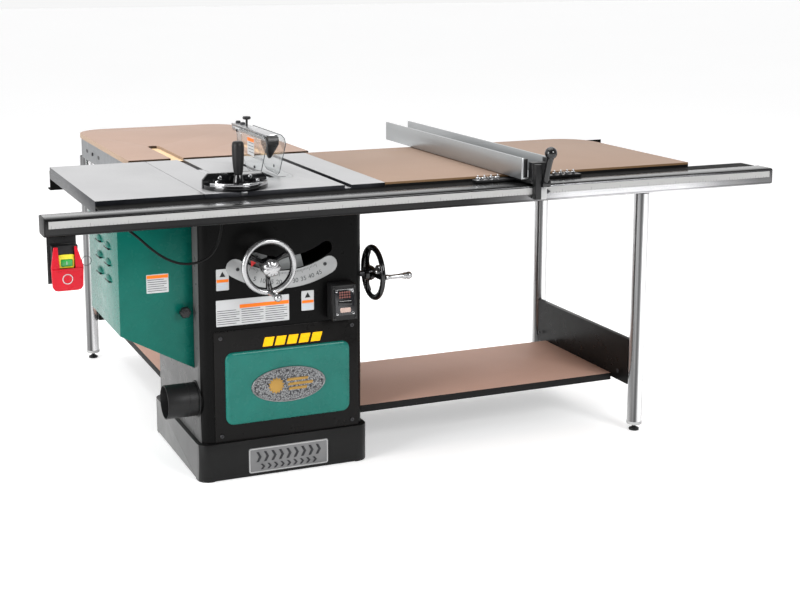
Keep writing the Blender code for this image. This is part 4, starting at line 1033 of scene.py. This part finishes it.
def wheel(prefix, centre, out, up, rim_radius, rim_material, inner_material, body, node, slot, first_spoke):
    """Rim, inner band, three curved spokes and a dished hub."""
    centre, out, up = Vector(centre), Vector(out), Vector(up)
    across = up.cross(out)
    piece(
        prefix + "_rim", ring(centre, out, rim_radius, 0.0080), rim_material, body, slot=slot,
        replaces=(node,)
    )
    shapes = [ring(centre - out * 0.0015, out, rim_radius - 0.0058, 0.0048, 64, 12)]
    shapes.append(
        turned(
            [(0.020, -0.030), (0.022, -0.024), (0.024, -0.010), (0.021, -0.002), (0.016, 0.0035)], centre,
            out, 36
        )
    )
    for i in range(3):
        angle = math.radians(first_spoke + 120 * i)
        way = across * math.cos(angle) + up * math.sin(angle)
        path = []
        widths = []
        for k in range(9):
            t = k / 8
            path.append(centre + way * (0.012 + (rim_radius - 0.018) * t) + out * (-0.014 + 0.013 * t * t))
            widths.append(0.0095 - 0.0045 * math.sin(math.pi * min(1.0, t * 1.15)) * 0.6)
        shapes.append(sweep(path, widths, 14))
    piece(prefix + "_spider", merged(*shapes), inner_material, body, slot=slot)


def handle(name, base, direction, length, body, node):
    """A turned handle with a collar at its foot and a ball end."""
    profile = [
        (0.0, 0.0), (0.0082, 0.0), (0.0086, 0.004), (0.0074, 0.010), (0.0066, 0.018), (0.0070, length * 0.45)
    ]
    profile += [(0.0084, length - 0.032), (0.0106, length - 0.022)]
    for i in range(9):
        angle = math.radians(-50 + 140 * i / 8)
        profile.append((0.0118 * math.cos(angle), length - 0.0118 + 0.0118 * math.sin(angle)))
    piece(name, turned(profile, base, direction, 36), satin_chrome, body, replaces=(node,))


def star_knob(name, centre, direction, axis, radius, body, node, front, back):
    """A lobed lock knob with a domed face and a stem."""
    rise = front - back
    middle = {0: (centre[1], centre[2]), 1: (centre[0], centre[2])}[axis]
    levels = [
        (0.80, back), (0.96, back + rise * 0.12), (1.0, back + rise * 0.30), (0.99, back + rise * 0.45),
        (0.95, back + rise * 0.60), (0.86, back + rise * 0.74), (0.72, back + rise * 0.85),
        (0.52, back + rise * 0.94), (0.28, back + rise * 0.985), (0.02, front)
    ]
    body_shape = stacked(lobed(middle, radius, 7, 0.16), middle, axis, levels)
    stem = rod(centre, Vector(centre) + Vector(direction) * (abs(back - centre[axis]) + 0.002), 0.010)
    piece(name, merged(body_shape, stem), satin_chrome, body, replaces=(node,))


RAISE = Vector((-0.073, -0.352, 0.6525))
wheel(
    "raise_wheel", RAISE, -Y, Z, 0.0745, satin_chrome, gloss_black, "raise_drive", "raise_wheel", "chrome",
    -90
)
handle("raise_wheel_handle", RAISE + Vector((0, -0.0083, -0.0745)), -Y, 0.078, "raise_grip", "raise_handle")
star_knob(
    "raise_wheel_lock", RAISE + Vector((0, -0.0043, 0)), -Y, 1, 0.0272, "raise_lock", "raise_lock_knob",
    -0.3885, -0.3650
)


def on_shaft(x):
    """A point on the tilt shaft's axis."""
    return Vector((x, -0.204, 0.572))


TILT_CENTRE = on_shaft(0.310)
wheel(
    "tilt_wheel", TILT_CENTRE, X, Z, 0.078, gloss_black, gloss_black, "tilt_drive", "tilt_wheel",
    "black_plastic", 180
)
handle("tilt_wheel_handle", TILT_CENTRE + Vector((0.0083, -0.078, 0)), X, 0.087, "tilt_grip", "tilt_handle")
star_knob(
    "tilt_wheel_lock", TILT_CENTRE + Vector((0.0043, 0, 0)), X, 0, 0.0225, "tilt_lock", "tilt_lock_knob",
    0.3400, 0.3220
)
piece("tilt_wheel_shaft", rod(on_shaft(-0.012), on_shaft(0.300), 0.009), dark_steel, "tilt_drive")


def worm(start, end, radius, turns, body, name):
    """A screw thread round a shaft."""
    start, end = Vector(start), Vector(end)
    along = (end - start).normalized()
    side = along.orthogonal().normalized()
    other = along.cross(side)
    steps = turns * 16
    path = []
    for i in range(steps + 1):
        angle = 2 * math.pi * turns * i / steps
        path.append(
            start + (end - start) * i / steps + radius * (side * math.cos(angle) + other * math.sin(angle))
        )
    piece(name, sweep(path, 0.0018, 6), steel, body)


worm(on_shaft(-0.010), on_shaft(0.028), 0.0118, 6, "tilt_drive", "tilt_worm_thread")
piece("tilt_worm_core", rod(on_shaft(-0.012), on_shaft(0.029), 0.0118), steel, "tilt_drive")

# ---------------------------------------------------------------- motor cover

COVER_LEFT = -0.471


def louvre(y, z):
    """A pressed hood, open along its lower edge."""
    rows = []
    half, tall, proud = 0.0355, 0.0130, 0.0085
    for k in range(7):
        lift = math.sin(math.pi / 2 * k / 6)
        shrink = math.cos(math.pi / 2 * k / 6)
        row = []
        for c, s in circle(24):
            v = tall * s if s > 0 else tall * s * 0.35
            size = max(shrink, 0.02)
            x = COVER_LEFT - proud * lift + 0.0005
            row.append(Vector((x, y + half * c * size, z + v * size)))
        rows.append(row)
    return skin(rows)


hoods = []
mouths = []
for y in (-0.064, 0.057):
    for z in (0.739, 0.690, 0.641, 0.592):
        hoods.append(louvre(y, z))
        # Each mouth is a black plate in the louvre's opening: painted shade for the dark inside of the
        # cover.
        mouth = [
            (y - 0.030, z - 0.0062), (y + 0.030, z - 0.0062), (y + 0.026, z - 0.0030),
            (y - 0.026, z - 0.0030)
        ]
        mouths.append(plate(mouth, 0, COVER_LEFT - 0.0075, COVER_LEFT + 0.0005))
piece("cover_louvres", merged(*hoods), green, "motor_door")
piece("cover_louvre_painted_shade", merged(*mouths), dull_plastic, "motor_door", slot="black_paint")
KNOB = (-0.284, 0.506)
piece(
    "cover_latch_knob",
    merged(
        stacked(
            lobed(KNOB, 0.017, 6, 0.14), KNOB, 1,
            [
                (0.75, -0.2055), (1.0, -0.2080), (1.0, -0.2160), (0.85, -0.2205), (0.4, -0.2222),
                (0.02, -0.2223)
            ]
        ),
        rod((KNOB[0], -0.1923, KNOB[1]), (KNOB[0], -0.2070, KNOB[1]), 0.008)
    ),
    plastic, "door_latch", replaces=("cover_knob",)
)

# ---------------------------------------------------------------- dust port

PORT_Y, PORT_Z = -0.200, 0.239
beads = []
for x, major, minor in ((-0.285, 0.0500, 0.0009), (-0.3485, 0.0492, 0.0013)):
    beads.append(ring((x, PORT_Y, PORT_Z), X, major, minor))
piece("dust_port_bead", merged(*beads), dull_plastic)


def port_ring(x, radius):
    return [Vector((x, PORT_Y + radius * c, PORT_Z + radius * s)) for c, s in circle(48)]


flange = [(-0.2542, 0.0502), (-0.2542, 0.0545), (-0.2570, 0.0545), (-0.2570, 0.0502)]
piece(
    "dust_port_flange", skin([port_ring(x, r) for x, r in flange], closed=True), dull_plastic, "stand",
    0.0005
)

# ---------------------------------------------------------------- rail

RAIL_FRONT = -0.500
for name, low_x, high_x in (("left", -0.7250, -0.722), ("right", 1.556, 1.5590)):
    piece(
        "rail_cap_" + name, plate(rounded((-0.4995, 0.8125), (-0.4245, 0.8615), 0.007), 0, low_x, high_x),
        dull_plastic, "stand", 0.0008
    )
piece("rail_tape", block((-0.713, RAIL_FRONT - 0.0005, 0.8345), (1.547, RAIL_FRONT + 0.0002, 0.8535)), tape)


def tape_marks():
    """Fine scale divisions along the tape, longer at every tenth."""
    shapes = []
    for i in range(0, 225):
        x = -0.706 + i * 0.010
        reach = 0.009 if i % 10 == 0 else 0.0055 if i % 5 == 0 else 0.0035
        shapes.append(
            block(
                (x - 0.0003, RAIL_FRONT - 0.0006, 0.8345), (x + 0.0003, RAIL_FRONT - 0.0004, 0.8345 + reach)
            )
        )
    return merged(*shapes)


piece("rail_tape_marks", tape_marks(), ink)
bolts(
    "rail_bolts", [(x, -0.440, 0.812) for x in (-0.50, -0.07, 0.30, 0.644, 0.887, 1.195, 1.420)], -Z, 0.0065,
    dark_steel, "stand", 0.005, slot="black_paint"
)
bolts(
    "strip_bolts", [(x, -0.3583, 0.798) for x in (0.62, 0.86, 1.15)], -Y, 0.006, dark_steel, "stand", 0.003,
    slot="black_paint"
)

# ---------------------------------------------------------------- fence

LIP = (0.7115, 0.7375)
piece(
    "fence_clamp_lip", plate(rounded((LIP[0], 0.8185), (LIP[1], 0.8670), 0.003), 1, -0.5015, -0.5085),
    light_grey, "fence", 0.001, slot="aluminium"
)
arrow = [(0.741, 0.8335), (0.752, 0.8405), (0.741, 0.8475)]
piece("fence_cursor", plate(arrow, 1, -0.5020, -0.5050), dark_steel, "fence", 0.0005, slot="black_plastic")
piece(
    "fence_cursor_arm", block((0.7370, -0.5045, 0.8375), (0.7430, -0.5020, 0.8435)), dark_steel, "fence",
    slot="black_plastic"
)
piece(
    "fence_end_cap",
    plate([(0.6745, 0.8825), (0.6870, 0.8825), (0.6870, 0.9370), (0.6745, 0.9370)], 1, -0.4795, -0.4550),
    plastic, "fence", 0.0008
)
piece(
    "fence_end_cap_right",
    plate([(0.7500, 0.8825), (0.7515, 0.8825), (0.7515, 0.9370), (0.7500, 0.9370)], 1, -0.4795, -0.4550),
    plastic, "fence", 0.0003
)


def crossbar_hardware():
    """Set screws, nuts and springs at both ends of the fence's crossbar."""
    shapes = []
    for start in (0.566, 0.826):
        for i in range(4):
            x = start + i * 0.022
            shapes.append(
                turned([(0.0065, 0.0), (0.0065, 0.006), (0.0052, 0.0072)], (x, -0.3960, 0.8703), Z, 6)
            )
            shapes.append(
                turned([(0.0030, 0.0), (0.0030, 0.0125), (0.0022, 0.0132)], (x, -0.3960, 0.8703), Z, 14)
            )
        coil = []
        for k in range(8 * 12 + 1):
            angle = 2 * math.pi * k / 12
            coil.append(Vector((start - 0.004 + 0.070 * k / 96, -0.4085 + 0.0036 * math.cos(angle),
                                0.8752 + 0.0036 * math.sin(angle))))
        shapes.append(sweep(coil, 0.0010, 6))
    return merged(*shapes)


piece("fence_crossbar_hardware", crossbar_hardware(), chrome, "fence")


def lever_shape():
    foot = Vector((0.724, -0.520, 0.868))
    ball = Vector((0.724, -0.5500, 0.961))
    run = ball - foot
    length = run.length
    profile = [(0.0, -0.006), (0.0080, -0.004), (0.0095, 0.004), (0.0090, 0.030), (0.0098, length - 0.030)]
    profile += [(0.0108, length - 0.019)]
    for i in range(10):
        angle = math.radians(-48 + 138 * i / 9)
        profile.append((0.0183 * math.cos(angle), length + 0.0183 * math.sin(angle)))
    return merged(
        turned(profile, foot, run, 40), rod((0.7113, -0.520, 0.868), (0.737, -0.520, 0.868), 0.0115)
    )


piece("fence_clamp_lever", lever_shape(), gloss_black, "fence_clamp", replaces=("fence_lever",))

# ---------------------------------------------------------------- miter gauge

MITER = (-0.143, -0.268)
LOW = 0.8743
half_disc = [(MITER[0] + 0.094, MITER[1] + 0.006), (MITER[0] - 0.094, MITER[1] + 0.006)]
half_disc += arc(MITER, 0.093, 180, 360, 48)
piece(
    "miter_gauge_body",
    merged(
        plate(half_disc, 2, LOW, LOW + 0.012),
        plate(
            [
                (MITER[0] - 0.095, LOW), (MITER[0] + 0.095, LOW), (MITER[0] + 0.095, LOW + 0.024),
                (MITER[0] + 0.079, LOW + 0.042), (MITER[0] - 0.079, LOW + 0.042),
                (MITER[0] - 0.095, LOW + 0.024)
            ],
            1, MITER[1] + 0.003, MITER[1] + 0.016
        ),
        turned(
            [(0.017, 0.011), (0.0165, 0.020), (0.013, 0.036), (0.012, 0.0407)],
            (MITER[0], MITER[1] - 0.030, LOW), Z, 32
        )
    ),
    gloss_black, "miter_gauge", 0.0010, slot="black_paint", replaces=("miter_head",)
)
quadrant = arc(MITER, 0.0932, 203, 337, 40) + arc(MITER, 0.0820, 337, 203, 40)
piece("miter_gauge_quadrant", plate(quadrant, 2, LOW + 0.0115, LOW + 0.0215), chrome, "miter_gauge", 0.0008)


def quadrant_marks():
    """A tick for every five degrees of the miter gauge."""
    shapes = []
    for degree in range(-60, 61, 5):
        angle = 270 + degree
        wide = 0.25
        points = [on_circle(MITER, 0.0835, angle - wide), on_circle(MITER, 0.0835, angle + wide),
                  on_circle(MITER, 0.0900, angle + wide), on_circle(MITER, 0.0900, angle - wide)]
        shapes.append(plate(points, 2, LOW + 0.0214, LOW + 0.0217))
    return merged(*shapes)


piece("miter_gauge_marks", quadrant_marks(), ink, "miter_gauge")
bolts(
    "miter_gauge_screws", [(MITER[0] + s * 0.045, MITER[1] + 0.003, LOW + 0.028) for s in (-1, 1)], -Y,
    0.0060, steel, "miter_gauge", 0.004
)
stop_posts = [
    rod(
        (MITER[0] + s * 0.060, MITER[1] - 0.020, LOW + 0.011),
        (MITER[0] + s * 0.060, MITER[1] - 0.020, LOW + 0.024), 0.0055
    )
    for s in (-1, 1)
]
piece("miter_gauge_stop_posts", merged(*stop_posts), chrome, "miter_gauge", 0.0005)
grip = [
    (0.0118, 0.9153), (0.0135, 0.925), (0.0158, 0.945), (0.0168, 0.965), (0.0174, 0.985), (0.0172, 0.998),
    (0.0160, 1.0045), (0.0130, 1.0085), (0.0080, 1.0098), (0.0, 1.0099)
]
piece(
    "miter_gauge_grip", turned(grip, (MITER[0], MITER[1] - 0.030, 0.0), Z, 40), dull_plastic, "miter_lock",
    replaces=("miter_handle",)
)

# ---------------------------------------------------------------- guard

TOP = 1.003
piece(
    "guard_top_bar", block((-0.009, -0.148, TOP - 0.006), (0.027, 0.200, TOP)), steel, "cradle", 0.0012,
    replaces=("guard_arm",)
)
piece(
    "guard_channel", block((-0.008, -0.140, 0.984), (0.026, 0.198, TOP - 0.0065)), gloss_black, "cradle",
    0.0010
)


def guard_nose():
    """A hook at the front of the arm that narrows to its tip."""
    outline = [(-0.145, TOP - 0.001), (-0.158, 0.9975), (-0.1625, 0.988), (-0.162, 0.976), (-0.146, 0.954),
               (-0.130, 0.932), (-0.121, 0.929), (-0.112, 0.932), (-0.106, 0.950), (-0.100, 0.970),
               (-0.100, 0.9845), (-0.139, 0.9845)]
    rows = []
    for side in (-1, -0.82, 0.82, 1):
        row = []
        for y, z in outline:
            wide = 0.0175 * min(1.0, 0.16 + (z - 0.929) / 0.052)
            shrink = 1.0 if abs(side) < 1 else 0.93
            row.append(
                Vector((0.009 + side * wide, -0.130 + (y + 0.130) * shrink, 0.970 + (z - 0.970) * shrink))
            )
        rows.append(row)
    return skin(rows)


piece("guard_nose", guard_nose(), plastic, "cradle")
bolts(
    "guard_bolts", [(0.009, y, TOP) for y in (0.185, 0.137)], Z, 0.0080, dark_steel, "cradle", 0.007,
    slot="black_plastic"
)
knob_centre = (0.009, 0.096)
piece(
    "guard_star_knob",
    merged(
        rod((0.009, 0.096, TOP + 0.0003), (0.009, 0.096, TOP + 0.022), 0.0035),
        stacked(
            lobed(knob_centre, 0.013, 5, 0.20), knob_centre, 2,
            [
                (0.8, TOP + 0.0205), (1.0, TOP + 0.0225), (1.0, TOP + 0.0275), (0.8, TOP + 0.0300),
                (0.05, TOP + 0.0303)
            ]
        )
    ),
    plastic, "guard_clamp", replaces=("guard_knob",)
)


def shield_edge(x):
    """The polished edge of a shield, which reads as a dark line; the line is painted shade in place of light
    bent at the clear edge.
    """
    outline = [(0.124, 1.001), (-0.150, 1.001), (-0.176, 0.994), (-0.188, 0.978), (-0.128, 0.886),
               (-0.112, 0.878), (-0.012, 0.880), (0.010, 0.888), (0.060, 0.928)]
    return sweep([Vector((x, y, z)) for y, z in outline], 0.0011, 6, closed=True)


for side, face_x, edge_x, out in (("left", -0.0215, -0.02025, -X), ("right", 0.0395, 0.03825, X)):
    screws = [(face_x, 0.100, 0.990), (face_x, -0.074, 0.899)]
    shield = side + "_shield"
    bolts("guard_shield_screws_" + side, screws, out, 0.0045, dark_steel, shield, 0.003, "black_plastic")
    piece("guard_shield_edge_" + side, shield_edge(edge_x), edge_painted_shade, shield)

# ---------------------------------------------------------------- table insert

bolts(
    "insert_screws", [(x, y, 0.8725) for x in (-0.008, 0.070) for y in (-0.110, 0.140)], Z, 0.0040,
    dark_steel, "stand", 0.0012
)
# A black plate where the insert's finger hole is: painted shade for the hole.
piece(
    "insert_finger_slot", plate(rounded((0.0310, -0.1390), (0.0560, -0.1290), 0.0045), 2, 0.8733, 0.87385),
    dull_plastic
)

# ---------------------------------------------------------------- legs, panels and aprons

bolts(
    "extension_panel_bolts", [(1.152, y, 0.183) for y in (-0.276, 0.122, 0.245)], -X, 0.006, dark_steel,
    "stand", 0.003, slot="black_paint"
)
bolts(
    "outfeed_panel_bolts", [(x, 1.169, 0.250) for x in (-0.225, 0.235)], -Y, 0.006, dark_steel, "stand",
    0.003, slot="black_paint"
)
collars = []
for x, y, z in ((1.176, -0.344, 0.0), (1.176, 0.295, 0.0), (-0.280, 1.185, 0.0), (0.290, 1.185, 0.0)):
    collars.append(
        turned([(0.0245, 0.0215), (0.0248, 0.0225), (0.0248, 0.030), (0.0242, 0.0310)], (x, y, z), Z, 40)
    )
piece("leg_end_rings", merged(*collars), light_grey, slot="black_plastic")


def apron_slots():
    """Bolt slots along both long sides of the outfeed skirt, drawn as black plates: painted shade for the
    openings.
    """
    shapes = []
    for x, out in ((-0.300, -1), (0.310, 1)):
        for y in (0.46, 0.66, 0.86, 1.06):
            outline = rounded((y - 0.014, 0.814), (y + 0.014, 0.826), 0.0055)
            shapes.append(plate(outline, 0, x - 0.0004 * out, x + 0.0004 * out))
    return merged(*shapes)


piece("outfeed_apron_slots", apron_slots(), dull_plastic, slot="black_paint")
for name, x, out in (("outfeed_apron_bolts", -0.300, -X), ("outfeed_apron_bolts_right", 0.310, X)):
    bolts(name, [(x, y, 0.820) for y in (0.56, 0.96)], out, 0.0065, dark_steel, "stand", 0.004)

# ---------------------------------------------------------------- switch

FACE = -0.490
outer = rounded((-0.689, 0.7290), (-0.6500, 0.7640), 0.003, 3)
inner = rounded((-0.6848, 0.7325), (-0.6542, 0.7515), 0.003, 3)
rows = []
for outline, y in ((outer, FACE), (outer, FACE - 0.004), (inner, FACE - 0.004), (inner, FACE)):
    rows.append([Vector((x, y, z)) for x, z in outline])
piece("switch_yellow_frame", skin(rows, closed=True), yellow, "stand", 0.0005)
piece(
    "switch_start_mark", block((-0.6702, FACE - 0.0064, 0.7375), (-0.6688, FACE - 0.0058, 0.7465)), white,
    "start_switch"
)
piece(
    "switch_stop_ring", ring((-0.670, FACE - 0.0132, 0.701), Y, 0.0125, 0.0011, 40, 8), white, "stop_switch",
    slot="red_plastic"
)
lip = [(-0.711, 0.7285), (-0.628, 0.7285), (-0.6295, 0.7235), (-0.7095, 0.7235)]
piece("switch_paddle_lip", plate(lip, 1, FACE - 0.0125, FACE - 0.0165), red, "stop_switch", 0.0015)
wire = [Vector((x, -0.486, z)) for x, z in arc((-0.617, 0.742), 0.0125, 200, 520, 32)]
piece("switch_key_ring", sweep(wire, 0.0008, 8), dark_steel)
piece(
    "switch_key_lug", block((-0.6395, -0.4885, 0.7385), (-0.6280, -0.4835, 0.7455)), plastic, "stand", 0.0008
)

# ---------------------------------------------------------------- studio

floor_shape = bmesh.new()
bmesh.ops.create_grid(floor_shape, x_segments=1, y_segments=1, size=40.0)
floor_mesh = bpy.data.meshes.new("studio_floor")
floor_shape.to_mesh(floor_mesh)
floor_shape.free()
floor = bpy.data.objects.new("studio_floor", floor_mesh)
floor.location.z = -0.0005
floor_paint = surface(
    "studio_floor_paint", (0.88, 0.88, 0.88), 0.7, spread=0.01, scale=0.5, bump=0.0, specular=0.1
)
floor_glow = floor_paint.node_tree.nodes["Principled BSDF"]
floor_glow.inputs["Emission Color"].default_value = (1, 1, 1, 1)
floor_glow.inputs["Emission Strength"].default_value = 0.35
floor_mesh.materials.append(floor_paint)
bpy.context.scene.collection.objects.link(floor)


def softbox(name, location, target, size, energy):
    light = bpy.data.lights.new(name, "AREA")
    light.shape = "RECTANGLE"
    light.size = size
    light.size_y = size
    light.energy = energy
    lamp = bpy.data.objects.new(name, light)
    lamp.location = location
    lamp.rotation_euler = (Vector(target) - Vector(location)).to_track_quat("-Z", "Y").to_euler()
    bpy.context.scene.collection.objects.link(lamp)


softbox("light_top", (0.4, 0.4, 4.2), (0.4, 0.2, 0.0), 4.0, 110)
softbox("light_left", (-4.2, -1.4, 1.8), (-0.2, 0.0, 0.6), 2.4, 190)
softbox("light_front", (1.9, -4.8, 3.0), (0.3, 0.0, 0.5), 2.0, 170)

world = bpy.data.worlds.new("studio")
bpy.context.scene.world = world
world.use_nodes = True
tree = world.node_tree
new = tree.nodes.new
link = tree.links.new
background = tree.nodes["Background"]
background.inputs["Strength"].default_value = 1.10
coords = new("ShaderNodeTexCoord")
split = new("ShaderNodeSeparateXYZ")
shift = new("ShaderNodeMapRange")
shift.inputs["From Min"].default_value = -1.0
shift.inputs["From Max"].default_value = 1.0
ramp = new("ShaderNodeValToRGB")
levels = ((0.10, (0.06, 0.06, 0.065, 1)), (0.75, (1.0, 1.0, 1.0, 1)))
for element, (position, colour) in zip(ramp.color_ramp.elements, levels):
    element.position = position
    element.color = colour
link(coords.outputs["Generated"], split.inputs["Vector"])
link(split.outputs["Y"], shift.inputs["Value"])
link(shift.outputs["Result"], ramp.inputs["Fac"])
link(ramp.outputs["Color"], background.inputs["Color"])
# Seen directly, the surroundings are as pale as the floor on every side.
pale = new("ShaderNodeBackground")
pale.inputs["Color"].default_value = (0.93, 0.93, 0.93, 1)
choice = new("ShaderNodeMixShader")
link(new("ShaderNodeLightPath").outputs["Is Camera Ray"], choice.inputs["Fac"])
link(background.outputs["Background"], choice.inputs[1])
link(pale.outputs["Background"], choice.inputs[2])
link(choice.outputs["Shader"], tree.nodes["World Output"].inputs["Surface"])
